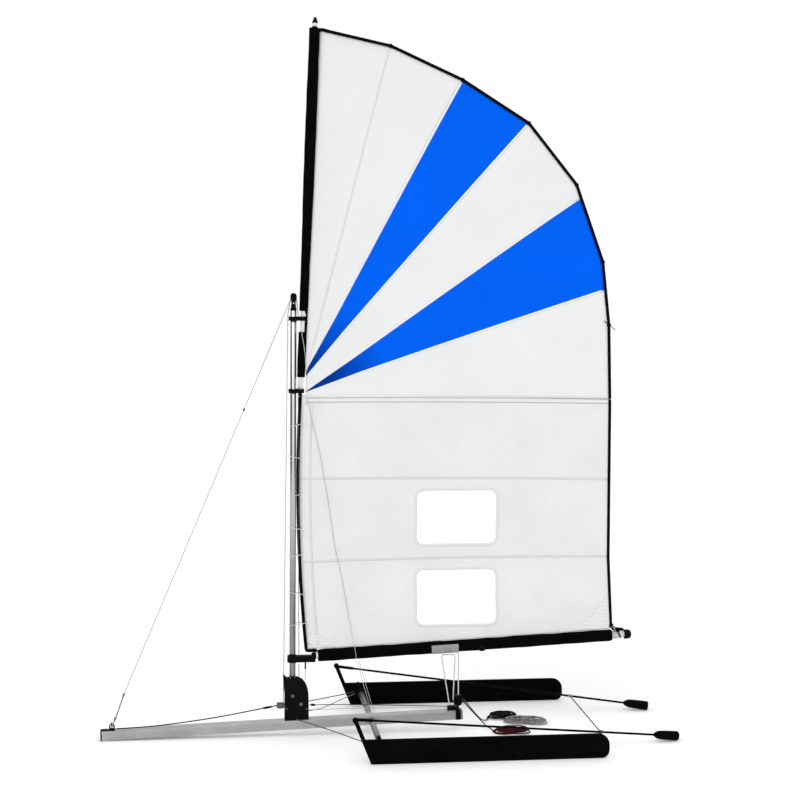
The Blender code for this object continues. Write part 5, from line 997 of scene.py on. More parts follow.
def flat_size(plane):
    """Width, length and area of a flat piece of cloth: its extents along its own main axes, and its quads' area."""
    flat = plane.reshape(-1, 2)
    centred = flat - flat.mean(0)
    axes = np.linalg.svd(centred, full_matrices=False)[2]
    extents = np.ptp(centred @ axes.T, axis=0)
    corners = [plane[:-1, :-1], plane[:-1, 1:], plane[1:, 1:], plane[1:, :-1]]
    turns = [a[..., 0] * b[..., 1] - a[..., 1] * b[..., 0] for a, b in zip(corners, corners[1:] + corners[:1])]
    area = abs(float(sum(turns).sum()) / 2)
    return (float(extents.min()), float(extents.max())), min(area, float(extents.prod()))


# %% Build the five gores
LEECH_INSET, FOOT_INSET, CLOTH = 0.0015, 0.004, 0.0004
GORES = (("gore_white_luff", "fan_white_luff", white_cloth, "white_sailcloth"),
         ("gore_blue_upper", "fan_blue_upper", blue_cloth, "blue_sailcloth"),
         ("gore_white_middle", "fan_white_middle", white_cloth, "white_sailcloth"),
         ("gore_blue_lower", "fan_blue_lower", blue_cloth, "blue_sailcloth"),
         ("gore_white_leech", "fan_white_leech", white_cloth, "white_sailcloth"))
feet = np.vstack((FEET[:1], FEET, THROAT))
ends = np.vstack((LEECH[:1], SEAM_ENDS, THROAT_END))
for index, (name, node_name, material, slot) in enumerate(GORES):
    outer = along_leech(ends[index], ends[index + 1])
    if index == 0:
        outer = np.vstack((back_edge(back_top[2] - 0.004), outer[1:]))
    pace = np.linspace(0, 1, len(outer))[:, None]
    inner = feet[index] * (1 - pace) + feet[index + 1] * pace
    inner = inner + unit(outer - inner) * FOOT_INSET
    outer = outer - unit(outer - inner) * LEECH_INSET
    t = np.linspace(0, 1, 90)[None, :, None]
    plane = inner[:, None] * (1 - t) + outer[:, None] * t
    gore = add_thin(name, [cloth_part(plane)], CLOTH, "gaff", material, [node_name])
    flat, area = flat_size(plane)
    print(name, "flat", np.round(flat, 3), "area", round(area, 3))

# %% [markdown]
# ## The lower sail and its windows
# Below the throat the sail is one four-sided panel with two clear windows. The panel is a grid from luff
# to leech and from foot to throat. A rounded rectangle has a simple distance formula, so the windows are
# cut by it: points near its edge move onto it, and faces inside it are left out.

# %% The window's distance, and the lower sail's grid
WINDOW_X, WINDOW_WIDTH, WINDOW_HEIGHT, WINDOW_CORNER = 0.3870, 0.2490, 0.1670, 0.022
WINDOW_LOW = {"lower": 0.3370, "upper": 0.5865}


def window_distance(x, z, low):
    """Signed distance to a rounded rectangle: length of the part outside the inner box, less the corner radius."""
    dx = np.abs(x - WINDOW_X - WINDOW_WIDTH / 2) - (WINDOW_WIDTH / 2 - WINDOW_CORNER)
    dz = np.abs(z - low - WINDOW_HEIGHT / 2) - (WINDOW_HEIGHT / 2 - WINDOW_CORNER)
    outside = np.hypot(np.maximum(dx, 0), np.maximum(dz, 0))
    return outside + np.minimum(np.maximum(dx, dz), 0) - WINDOW_CORNER


def lower_plane(columns, rows):
    """A grid of (x, z): z from foot to throat seam at each x, x from luff to leech at each z, in a few rounds."""
    v, u = np.meshgrid(np.linspace(0, 1, rows), np.linspace(0, 1, columns), indexing="ij")
    x = LUFF_THROAT_X + (LEECH_LOWER[0] - LUFF_THROAT_X) * u
    for _ in range(5):
        low = foot_z(x)
        z = low + (throat_seam_z(x) - 0.0003 - low) * v
        left = luff_x(z) + LUFF_RADIUS * 0.6
        x = left + (leech_x(z) - LEECH_INSET - left) * u
    return np.stack((x, z), -1)


def pull_to_window(plane, low, near):
    """Moves the points that are near the window's edge onto it, down the slope of its distance."""
    x, z = plane[..., 0], plane[..., 1]
    distance, step = window_distance(x, z, low), 1e-5
    slope_x = (window_distance(x + step, z, low) - distance) / step
    slope_z = (window_distance(x, z + step, low) - distance) / step
    move = np.where(np.abs(distance) < near, distance, 0)
    return np.stack((x - slope_x * move, z - slope_z * move), -1)


plane = lower_plane(206, 170)
for low in WINDOW_LOW.values():
    plane = pull_to_window(plane, low, 0.0036)
points, faces, uv, _ = cloth_part(plane)
flat_points = plane.reshape(-1, 2)
inside = np.any([window_distance(*flat_points.T, low) < -1e-4 for low in WINDOW_LOW.values()], axis=0)
keep = ~inside[faces].any(axis=1)
used, renumbered = np.unique(faces[keep], return_inverse=True)
lower_part = (points[used], renumbered.reshape(-1, 4), uv[keep], False)
lower = add_thin("lower_sail_cloth", [lower_part], CLOTH, "boom", lower_cloth, ["lower_sail"])
fold_down(lower)
flat, area = flat_size(lower_plane(80, 60))
print("lower sail flat", np.round(flat, 3), "faces", int(keep.sum()))


# %% Window film, a little larger than its opening and behind the cloth
def window_loop(low, margin, rays=224):
    """The window's centre, and its outline grown by the margin: on each ray, steps as long as the distance."""
    angle = 2 * np.pi * np.arange(rays) / rays
    corner = WINDOW_CORNER + margin
    half = np.array((WINDOW_WIDTH / 2 + margin, WINDOW_HEIGHT / 2 + margin))
    ray = np.stack((np.cos(angle), np.sin(angle)), -1)
    reach = np.full(rays, 0.01)
    for _ in range(40):
        beyond = np.abs(ray * reach[:, None]) - (half - corner)
        reach = reach - (np.hypot(*np.maximum(beyond, 0).T) + np.minimum(beyond.max(1), 0) - corner)
    return np.array((WINDOW_X + WINDOW_WIDTH / 2, low + WINDOW_HEIGHT / 2)), ray * reach[:, None]


def film_part(low, margin, offset):
    """The film: rings between the window's centre and its outline, closed round, with a pole in the middle."""
    centre, loop = window_loop(low, margin)
    plane = centre + loop[None] * np.linspace(0, 1, 24)[:, None, None]
    rows, sides = plane.shape[:2]
    faces, _, _ = grid(rows, sides, closed=True)
    uv = plane.reshape(-1, 2)[faces]
    points = on_sail(plane, offset).reshape(-1, 3)[sides - 1:]
    return points, *tidy_triangles(np.where(faces < sides, 0, faces - sides + 1), uv), False


def hem_part(low, inner, outer, offset):
    """A flat ring round the window, between two distances from its edge."""
    centre, first = window_loop(low, inner)
    _, last = window_loop(low, outer)
    share = np.linspace(0, 1, 4)[:, None, None]
    plane = centre + first[None] * (1 - share) + last[None] * share
    rows, sides = plane.shape[:2]
    faces, corner_rows, corner_columns = grid(rows, sides, closed=True)
    around = reach_along(np.vstack((last, last[:1])))
    uv = np.stack((around[corner_columns], corner_rows / (rows - 1) * (outer - inner)), -1)
    return on_sail(plane, offset).reshape(-1, 3), faces, uv, False


FILM_MARGIN, HEM_WIDTH, FILM = 0.008, 0.0085, 0.0003
for word, low in WINDOW_LOW.items():
    film = add_thin(f"window_film_{word}", [film_part(low, FILM_MARGIN, 0.0006)], FILM, "boom", clear_film,
                    [f"window_{word}"])
    hem = add_thin(f"window_hem_{word}", [hem_part(low, 0.0, HEM_WIDTH, -0.0004)], FILM, "boom", hem_cloth)
    fold_down(film)
    fold_down(hem)

# %% [markdown]
# ## Tapes, seams and bindings
# Sailmakers sew a tape along each seam, and it shows as a brighter, slightly raised line. A tape is a
# narrow ribbon that follows a line in the sail's plane: the line's points moved a little to each side,
# then laid on the sail by the same depth function.

# %% A ribbon that follows a line on the sail
def plane_line(points, spacing=0.008):
    """Points evenly spaced along a line in the sail's plane."""
    return resampled(points, spacing, 3, 0)


def ribbon_part(line, width, offset, columns=4, taper=0.0):
    """A band of this width: line + side * w, with side square to the line. Its UV is (along, across).

    With a taper, the width grows in proportion over that first stretch of the line."""
    tangent = unit(np.gradient(line, axis=0))
    side = np.stack((-tangent[:, 1], tangent[:, 0]), axis=1)
    place = np.linspace(-width / 2, width / 2, columns)
    along = reach_along(line)
    share = np.clip(along / taper, 0.12, 1) if taper else np.ones(len(line))
    plane = line[:, None] + side[:, None] * place[None, :, None] * share[:, None, None]
    faces, corner_rows, corner_columns = grid(*plane.shape[:2])
    uv = np.stack((along[corner_rows], place[corner_columns]), -1)
    return on_sail(plane, offset).reshape(-1, 3), faces, uv, False


def tape(name, lines, width, body, material, offset=0.0006, thickness=0.0003, taper=0.0):
    """One piece with a ribbon on the near face and one on the far face for each line."""
    parts = [ribbon_part(line, width, side * offset, taper=taper) for line in lines for side in (-1, 1)]
    made = add_thin(name, parts, thickness, body, material)
    return made


# %% Stitched seam cloth: the tape's colour with a row of stitches near each edge
def stitched(name, colour, thread_colour, width, roughness=0.6):
    made, tree, shader = start_material(name, roughness, Sheen_Weight=0.1, Specular_IOR_Level=0.25)
    uv = uv_of(tree)
    tone = uneven(tree, uv, colour, 0.95, 0.06)
    marks = placed(tree, STITCH, Vector=uv, Pitch=0.005, Width=width)
    dye(tree, shader, blended(tree, marks.outputs["Mark"], tone.outputs["Colour"], rgba(thread_colour)))
    weave = placed(tree, WEAVE, Vector=uv, Thread=0.0009, Grid=0.0075)
    height = maths(tree, "MULTIPLY_ADD", marks.outputs["Mark"], 1.0, weave.outputs["Height"])
    relief(tree, shader, height, 0.15, 0.0006)
    return made


seam_tape = stitched("seam_tape", (0.92, 0.925, 0.93), (0.70, 0.71, 0.72), 0.003)
grey_tape = stitched("grey_seam_tape", (0.46, 0.47, 0.48), (0.66, 0.67, 0.68), 0.003)
soft_tape = stitched("soft_seam", (0.76, 0.765, 0.77), (0.62, 0.63, 0.64), 0.004)
faint_tape = stitched("faint_seam", (0.80, 0.805, 0.81), (0.72, 0.725, 0.73), 0.004)
patch_cloth = stitched("corner_patch", (0.865, 0.87, 0.875), (0.70, 0.71, 0.72), 0.012)

# %% Seams of the fan, and the tapes below the throat
seam_lines = [plane_line((foot, end)) for foot, end in zip(FEET, SEAM_ENDS)]
inward = [line[int(len(line) * 0.03):-1] for line in seam_lines]
tape("fan_seam_tapes", inward, 0.0065, "gaff", seam_tape, taper=0.16)
tape("luff_gore_seam", [plane_line((FEET[0] + (0.004, 0.0), LEECH[1] - (0.003, 0.004)))], 0.0058, "gaff",
     faint_tape, taper=0.12)


def across_sail(z_left, z_right, left=None):
    """A line over the lower sail, from the luff to the leech."""
    start = luff_x(z_left) + 0.008 if left is None else left
    return plane_line(((start, z_left), (leech_x(z_right) - 0.004, z_right)))


throat_tapes = [across_sail(z, z - 0.006, THROAT[0] + 0.004) for z in (THROAT_Z - 0.009, THROAT_Z - 0.0225)]
for index, line in enumerate(throat_tapes):
    fold_down(tape(f"throat_tape_{index + 1}", [line], 0.0026, "boom", grey_tape))
for index, (left, right) in enumerate(((0.7974, 0.7895), (0.5405, 0.5457))):
    fold_down(tape(f"lower_seam_{index + 1}", [across_sail(left, right)], 0.0075, "boom", soft_tape))
heights = np.linspace(float(foot_z(LUFF_TACK_X)) + 0.012, THROAT_Z - 0.028, 90)
luff_strip = np.stack((luff_x(heights) + LUFF_RADIUS + 0.019, heights), -1)
fold_down(tape("luff_strip", [luff_strip], 0.034, "boom", patch_cloth, 0.0005))

# %% Corner patches at the clew and the tack
def wedge(corner, first, second, offset=0.0005):
    """A three-sided patch: rows between two edges that start at the corner."""
    u, v = np.meshgrid(np.linspace(0.02, 1, 24), np.linspace(0, 1, 24), indexing="ij")
    corner, first, second = (np.asarray(p, float) for p in (corner, first, second))
    bow = 1 - 0.12 * np.sin(np.pi * v)
    plane = corner + u[..., None] * bow[..., None] * ((first - corner) * (1 - v[..., None])
                                                       + (second - corner) * v[..., None])
    return [cloth_part(plane, side * offset) for side in (-1, 1)]


clew = np.array((float(leech_x(0.312)) - 0.004, 0.3145))
tack = np.array((float(luff_x(0.275)) + 0.008, 0.2735))
patches = (wedge(clew, (leech_x(0.43) - 0.004, 0.43), (0.885, float(foot_z(0.885)) + 0.003), 0.0011)
           + wedge(tack, (luff_x(0.365) + 0.008, 0.365), (0.135, float(foot_z(0.135)) + 0.003)))
lower_patches = add_thin("corner_patches", patches, 0.0003, "boom", patch_cloth)
fold_down(lower_patches)

# %% [markdown]
# ## Sleeves of the gaff and the boom
# Both spars run in black cloth sleeves. A sleeve is a loft of ovals: half widths along the spar, with a
# slow waviness added where the cloth is pulled by the sail. Its wall is real: an outer and an inner skin.

# %% A sleeve between two skins of ovals
def ovals(centres, across, half_across, half_deep, angle):
    """Rings round a spar: centre + across a cos t + DEPTH b sin t."""
    return (centres[:, None] + across * (half_across * np.cos(angle))[..., None]
            + DEPTH * (half_deep * np.sin(angle))[..., None])


def sleeve_part(centres, side, halves, thick, inner, ripple, sides=64):
    """Wavy ovals outside, the tube's own circle inside. Both skins meet at the ends."""
    angle = 2 * np.pi * np.arange(sides) / sides
    along = reach_along(centres)
    wave = 1 + ripple * (np.sin(along * 31)[:, None] * np.cos(2 * angle + along[:, None] * 9)
                         + 0.6 * np.sin(along * 74)[:, None] * np.cos(3 * angle)[None, :])
    outer = ovals(centres, side, halves[:, None] * wave, thick[:, None] * wave, angle)
    lined = ovals(centres, side, inner, inner, angle)
    stretch = np.concatenate((along, along[::-1], along[:1]))
    return hoop(np.concatenate((outer, lined[::-1])), stretch, 2 * np.pi * float(halves.mean()))


# %% The gaff's sleeve, with its cutout for the collar, and the piping on its seam
def gaff_sleeve_run(start, end):
    reach = np.linspace(start, end, max(6, int((end - start) / 0.012)))
    slack = 0.0020 * np.exp(-((reach - 0.72) / 0.22) ** 2) * np.clip((GAFF_LENGTH - reach) / 0.1, 0, 1)
    return sleeve_part(gaff_at(reach), GAFF_SIDE, gaff_half_width(reach) + slack,
                       np.full(len(reach), GAFF_SLEEVE_HALF_THICKNESS), GAFF_RADIUS + GAP, ripple=0.022)


def strip_part(start, end, spread):
    """What is left of the sleeve beside the collar: the outer skin's aft part, as a band with a wall."""
    reach = np.linspace(start, end, 12)
    angle = np.linspace(-spread, spread, 13)
    outer = ovals(gaff_at(reach), GAFF_SIDE, gaff_half_width(reach)[:, None], GAFF_SLEEVE_HALF_THICKNESS, angle)
    inner = ovals(gaff_at(reach), GAFF_SIDE, GAFF_RADIUS + GAP, GAFF_RADIUS + GAP, angle)
    return walled_band(outer, inner, reach, 0.05)


sleeve_cloth = add_piece("gaff_sleeve_cloth", [gaff_sleeve_run(GAFF_SLEEVE_FROM, CUTOUT[0]),
                                               gaff_sleeve_run(CUTOUT[1], GAFF_LENGTH - 0.0003),
                                               strip_part(CUTOUT[0] - 0.002, CUTOUT[1] + 0.002, 0.50),
                                               strip_part(CUTOUT[0] - 0.001, 0.2205, 1.05),
                                               strip_part(0.2400, CUTOUT[1] + 0.001, 1.05)],
                         "gaff", black_cloth, ["gaff_sleeve"])

seam_reach = np.linspace(CUTOUT[0] - 0.001, 0.086, 30)
seam_turn = np.interp(seam_reach, (0.086, 0.108, CUTOUT[0]), (0.30, 0.62, 1.90))
seam_run = (gaff_at(seam_reach) + GAFF_SIDE * ((gaff_half_width(seam_reach) + GAP) * np.cos(seam_turn))[:, None]
            - DEPTH * ((GAFF_SLEEVE_HALF_THICKNESS + GAP) * np.sin(seam_turn))[:, None])
add_piece("gaff_sleeve_piping", [swept(seam_run, 0.0008, 8)], "gaff", white_rope)

# %% The boom's sleeve
reach = np.linspace(0.0, SLEEVE_LENGTH, 110)
run = SLEEVE_FRONT + reach
pinch = np.where(np.arange(len(reach)) == 0, 0.93, 1.0)
pinch[-1] = 0.90
sag = 1 + 0.030 * np.sin(reach * 23 + 0.6) * np.minimum(reach / 0.05, 1)
boom_skins = sleeve_part(boom_at(run), BOOM_UP, sleeve_half(run) * pinch, SLEEVE_HALF_THICKNESS * pinch * sag,
                         BOOM_RADIUS + GAP, ripple=0.028)
boom_cloth = add_piece("boom_sleeve_cloth", [boom_skins], "boom", black_cloth, ["boom_sleeve"])

# %% Webbing under the boom
WEBBING_X, WEBBING_LENGTH, WEBBING_THICKNESS = 0.474, 0.084, 0.002
WEBBING_FRONT = WEBBING_X - WEBBING_LENGTH / 2
WEBBING_HALF = float(sleeve_half(WEBBING_FRONT)) + GAP


def webbing_part():
    """A flat band bent round the sleeve's underside: an outer and an inner arc of ovals, closed at the edges."""
    run = np.linspace(WEBBING_FRONT, WEBBING_X + WEBBING_LENGTH / 2, 40)
    angle = np.linspace(math.pi * 0.36, math.pi * 1.64, 40)
    outer, inner = (ovals(boom_at(run), BOOM_UP, WEBBING_HALF + grow, SLEEVE_HALF_THICKNESS + GAP + grow, angle)
                    for grow in (WEBBING_THICKNESS, 0.0001))
    return walled_band(outer, inner, run, 0.10)


webbing = add_piece("sheet_webbing_band", [webbing_part()], "boom", grey_webbing, ["sheet_webbing"])

# %% [markdown]
# ## Standing ropes of the sail
# The luff and the leech are edged with black rope. The ropes that hold the rig are braided lines, each
# with a route of a few chosen points, as in the skeleton, made smooth by a Catmull-Rom curve.

# %% Luff rope and leech ropes
def deck_at(x, y, height):
    """A point over the sloping deck bar: at x, and this high above the bar's underside."""
    along = (x - BAR_FRONT + height * BAR_AIM[2]) / BAR_AIM[0]
    return np.array((BAR_FRONT, 0, 0)) + BAR_AIM * along + BAR_UP * height + (0, y, 0)


def arc(centre, radius, start, end, count=13):
    """Points on a circle in the sail's plane, between two angles in degrees."""
    angle = np.radians(np.linspace(start, end, count))
    return np.asarray(centre) + radius * in_plane(np.cos(angle), np.sin(angle))


ROPES = {}


def rope_piece(name, path, radius, body, material, stands_for=(), spacing=None):
    """A rope along a path, handed over at once. The path is kept in ROPES, with the piece and its radius."""
    spaced = resampled(path, spacing or max(radius * 0.9, 0.0015))
    made = add_piece(name, [swept(spaced, radius, 14)], body, material, stands_for)
    ROPES[name] = (made, spaced, radius)
    return made


plug_low = GAFF_FOOT[2] - COLLAR_FLOOR - PLUG_HEIGHT - 2 * GAP
heights = np.linspace(plug_low, TACK_HEIGHT + 6 * LUFF_RADIUS, 40)
bend = LUFF_RADIUS * 1.15
luff_end = SLEEVE_FRONT - (BOOM_RADIUS + 2 * LUFF_RADIUS) * BOOM_AIM[2] - 2 * GAP
luff_path = np.vstack((in_plane(luff_x(heights), heights),
                       arc((LUFF_TACK_X + bend, 0, TACK_HEIGHT + bend), bend, 180, 270, 9),
                       (luff_end, 0, TACK_HEIGHT)))
fold_down(rope_piece("luff_rope_braid", luff_path, LUFF_RADIUS, "boom", black_rope, ["luff_rope"],
                     spacing=0.004))

upper_path = in_plane(*LEECH.T)
upper_path[-1] += (0, 0, GAP)
rope_piece("leech_rope_upper", upper_path, LEECH_RADIUS, "gaff", black_rope, ["leech_cord_upper"],
           spacing=0.006)
outhaul_z = float(boom_z(CLEW_X + LEECH_RADIUS)) + BOOM_RADIUS + LEECH_RADIUS + 2 * GAP
boom_tip = boom_at(BOOM_FRONT) + BOOM_AIM * BOOM_LENGTH
clew_foot = float(foot_z(CLEW_X))
lower_path = [(THROAT_END[0], 0, THROAT_END[1] - GAP), in_plane(*LEECH_LOWER),
              (CLEW_X, 0, clew_foot + LEECH_RADIUS * 2),
              (CLEW_X + 3 * LEECH_RADIUS, 0, outhaul_z + LEECH_RADIUS),
              (boom_tip[0] - CAP_RADIUS * BOOM_AIM[2] - 3 * GAP, 0,
               boom_tip[2] + BOOM_RADIUS + LEECH_RADIUS + 2 * GAP)]
fold_down(rope_piece("leech_rope_lower", lower_path, LEECH_RADIUS, "boom", black_rope,
                     ["leech_cord_lower"], spacing=0.005))


# %% The rope's head over the gaff's end, and a whipping on each corner of the fan
head_aim = unit(LEECH[1] - LEECH[0])
head_route = [gaff_at(GAFF_LENGTH - 0.011) + GAFF_SIDE * 0.008, gaff_back(GAFF_LENGTH - 0.006),
              in_plane(*LEECH[0]) + (0.002, 0, 0), in_plane(*(LEECH[0] + head_aim * 0.022))]
add_piece("leech_rope_head", [swept(smooth_route(head_route, 0.002), LEECH_RADIUS + 0.0004, 16)], "gaff",
          black_rope)
whippings = [turns_part(in_plane(*corner), in_plane(*(after - before)), LEECH_RADIUS + 0.0006, 0.0011, 3, 0.0021)
             for before, corner, after in zip(LEECH, LEECH[1:-1], LEECH[2:])]
add_piece("leech_whippings", whippings, "gaff", black_rope)

# %% [markdown]
# ## Running ropes
# Halyard, downhaul, forestay, control line, braces, brail and mainsheet. Each one starts and ends at a
# fitting. Where a rope turns round a wheel, the points of its arc come from the wheel's own centre.

# %% Halyard and downhaul
fair_low, fair_high = (np.array(list(corner)) - (MAST_X, 0, 0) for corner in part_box("foot_fairlead"))
LEAD = np.array((fair_low[0] + FAIRLEAD_LENGTH / 2, 0.0, (fair_low[2] + fair_high[2]) / 2))
MAST_TOP = mast_high.z
front = -COLLAR_REACH - ROPE_LIGHT - 3 * GAP
halyard_path = np.vstack((
    (LEAD[0] + FAIRLEAD_LENGTH * 0.34, 0, LEAD[2] + FAIRLEAD_HEIGHT / 2 + GAP),
    (front, 0, MAST_TOP - COLLAR_HEIGHT),
    arc(HEAD_SHEAVE, WHEEL_RADIUS * 0.88 + ROPE_LIGHT + GAP, 180, 0),
    (COLLAR_REACH, 0, GAFF_FOOT[2] - COLLAR_FLOOR + COLLAR_RISE + COLLAR_HEIGHT + 2 * GAP)))
rope_piece("halyard_braid", halyard_path, ROPE_LIGHT, "rig_base", pale_rope, ["halyard"],
           spacing=0.003)
rope_y = -LUFF_RADIUS - ROPE_THIN - 4 * GAP
downhaul_path = [(COLLAR_REACH + COLLAR_RING, rope_y, GOOSENECK_TOP + GAP),
                 (COLLAR_REACH, rope_y, GAFF_FOOT[2] - COLLAR_FLOOR - GAP)]
fold_down(rope_piece("downhaul_braid", downhaul_path, ROPE_THIN, "boom", dark_flecked_rope,
                     ["downhaul"], spacing=0.006))

# Below the gooseneck the downhaul and the tack's line run on towards the foot.
downhaul_fall = [(0.0193, rope_y, 0.2255), (0.0196, rope_y, 0.2050), (0.0198, rope_y, 0.1835)]
rope_piece("downhaul_fall", downhaul_fall, ROPE_THIN, "boom", dark_flecked_rope, spacing=0.004)
tack_fall = [(0.0396, -0.0040, 0.2290), (0.0397, -0.0042, 0.2060), (0.0398, -0.0042, 0.1745)]
rope_piece("tack_line_fall", tack_fall, 0.0014, "boom", pale_rope, spacing=0.004)
whipping = turns_part((*tack_fall[0][:2], 0.2180), (0, 0, 1), 0.0018, 0.0009, 12, 0.0018)
add_piece("tack_line_whipping", [whipping], "boom", black_rope)

# %% Forestay with its ferrule, and the lanyard through the bow eye
BOW_EYE = (np.array((BAR_FRONT, 0, 0)) + BAR_AIM * (EYE_TAB_LENGTH - EYE_RADIUS)
           + BAR_UP * (BAR_HEIGHT + GAP + EYE_TAB_THICKNESS / 2 + EYE_RADIUS))
stay_start = np.array((-HEAD_PLATE_WIDTH * 0.45, -HEAD_SLOT / 2 - HEAD_PLATE_THICKNESS - ROPE_THIN - GAP,
                       HEAD_SHEAVE[2] - WHEEL_RADIUS))
lanyard_top = BOW_EYE + (0.036, -0.003, 0.098)
rope_piece("forestay_wire", [stay_start, lanyard_top], ROPE_THIN, "rig_base", wire_rope,
           spacing=0.02)
around = EYE_THICKNESS / 2 + ROPE_LANYARD + 4 * GAP
eye_steps = ((0.012, -around, 0.028), (0.003, -around * 1.6, 0.012), (0.001, -around * 1.5, 0.002),
             (0, -around * 0.6, -0.001), (0, around * 0.6, -0.001), (-0.001, around * 1.5, 0.002),
             (-0.003, around * 1.6, 0.012))
lanyard_route = [lanyard_top + (stay_start - lanyard_top) * 0.004, lanyard_top, *(BOW_EYE + eye_steps)]
rope_piece("forestay_lanyard", smooth_route(lanyard_route, 0.004), ROPE_LANYARD, "rig_base", grey_rope,
           ["forestay"])
stay_aim = unit(lanyard_top - stay_start)
ferrule_place = stay_start + (lanyard_top - stay_start) * 0.2785
ferrule = [(0, -0.0045), (0.0017, -0.0045), (0.0026, -0.0036), (0.0026, 0.0036), (0.0017, 0.0045), (0, 0.0045)]
add_piece("forestay_ferrule", [turned(ferrule, ferrule_place, stay_aim, 24)], "rig_base", black_plastic)
lanyard_knots = [turns_part(lanyard_top, stay_aim, 0.0022, 0.0014, 4, 0.0029),
                 turns_part(BOW_EYE + (0.0105, -around * 1.05, 0.0265), (0.4, 0, 0.9), 0.0026, 0.0013, 3, 0.0027)]
add_piece("lanyard_knot", lanyard_knots, "rig_base", grey_rope)

# %% Control line in front of the mast, and the braces to the hubs
control_route = [BOW_EYE + (0.013, -0.010, -0.004), (-0.500, -0.010, 0.0365), (-0.400, -0.009, 0.0425),
                 (-0.240, -0.006, 0.0610), (-0.092, -0.001, 0.0850), (-0.086, 0, 0.0860), (-0.068, 0, 0.0885),
                 (LEAD[0] - FAIRLEAD_LENGTH / 2 - 2 * GAP, 0, 0.0930)]
rope_piece("control_line_braid", smooth_route(control_route, 0.006), 0.0018, "rig_base", speckled_rope,
           ["control_line"])
splice = turns_part((-0.077, 0, 0.0873), (0.98, 0, 0.15), 0.0025, 0.0013, 9, 0.0027)
add_piece("control_line_splice", [splice], "rig_base", black_rope)
BAR_TOP_AT_MAST = float(deck_at(0, 0, BAR_HEIGHT)[2])
CHEEK_FACE = MAST_RADIUS + 2 * GAP + CHEEK_THICKNESS
cheek_y = CHEEK_FACE + ROPE_LIGHT + GAP
CHEEK_AFT = 0.0501
hub_y = BOARD_SPACING / 2 - BOARD_THICKNESS / 2 - GAP - HUB_WIDTH / 2
hub_front = PIVOT[0] - HUB_RADIUS - ROPE_LIGHT - GAP
near_route = [(0.012, -cheek_y, BAR_TOP_AT_MAST + 0.004), (0.10, -0.135, 0.052), (0.19, -0.262, 0.050),
              (hub_front, -hub_y, PIVOT[2] + 0.004)]
far_route = [(CHEEK_AFT - 0.006, cheek_y, BAR_TOP_AT_MAST + 0.050), (0.15, 0.155, 0.0775),
             (hub_front, hub_y, PIVOT[2] + 0.006)]
for word, route in (("near", near_route), ("far", far_route)):
    rope_piece(f"brace_{word}_braid", smooth_route(route, 0.01), ROPE_LIGHT, "rig_base", dark_flecked_rope,
               [f"brace_{word}"])
second_route = [(CHEEK_AFT, cheek_y, 0.0688), (0.0896, 0.050, 0.0660), (0.1148, 0.090, 0.0620),
                (0.1638, 0.180, 0.0562), (hub_front, hub_y, PIVOT[2] - 0.002)]
rope_piece("brace_far_second", smooth_route(second_route, 0.01), 0.0013, "rig_base", grey_rope)
add_piece("foot_rope_knot", [turns_part((0.0640, 0.0, 0.0918), (1, 0, -0.05), 0.0026, 0.0014, 4, 0.0030)],
          "rig_base", black_rope)

# %% Mainsheet between bar and boom, brail in front of the sail
def under_webbing(x):
    return float(boom_z(x)) - (WEBBING_HALF + WEBBING_THICKNESS) / math.cos(BOOM_RISE)


sheet_top = under_webbing(WEBBING_FRONT) - ROPE_SHEET - 2 * GAP
BAR_LENGTH, STRAP_FROM_END, CLEAT_FROM_STRAP = 1.117, 0.0155, 0.019
CLEAT_LENGTH, CLEAT_HEIGHT = 0.026, 0.0125
CLEAT_X = BAR_LENGTH + BAR_FRONT - STRAP_FROM_END - CLEAT_FROM_STRAP
cleat_start = deck_at(CLEAT_X - CLEAT_LENGTH / 4, 0, BAR_HEIGHT + CLEAT_HEIGHT + ROPE_SHEET + 2 * GAP)
sheet_path = np.vstack((
    (cleat_start, (0.4650, 0, sheet_top - 0.006), (0.4680, 0, sheet_top), (0.5045, 0, sheet_top),
     (0.5075, 0, sheet_top - 0.006)),
    arc(SHEET_SHEAVE, WHEEL_RADIUS * 0.86 + ROPE_SHEET + GAP, 180, 360),
    (0.5175, 0, under_webbing(0.5175) + WEBBING_THICKNESS - ROPE_SHEET - 4 * GAP)))
rope_piece("mainsheet_braid", sheet_path, ROPE_SHEET, "rig_base", white_rope, ["mainsheet"],
           spacing=0.0025)

bar_lines = (
    ("bar_line_upper", ((0.0525, 0.0, 0.0925), (0.0640, 0.0, 0.0918), (0.2000, 0.0010, 0.0890),
                        (CLEAT_X - 0.0120, 0.0030, float(cleat_start[2]) - 0.0045)), 0.0013, dark_flecked_rope),
    ("bar_line_lower", ((0.0525, 0.002, 0.0760), (0.2197, 0.001, 0.0775),
                        (CLEAT_X - 0.0120, -0.0020, float(cleat_start[2]) - 0.0080)), 0.0010, pale_rope),
)
for name, route, radius, material in bar_lines:
    rope_piece(name, smooth_route(route, 0.01), radius, "rig_base", material, spacing=0.005)

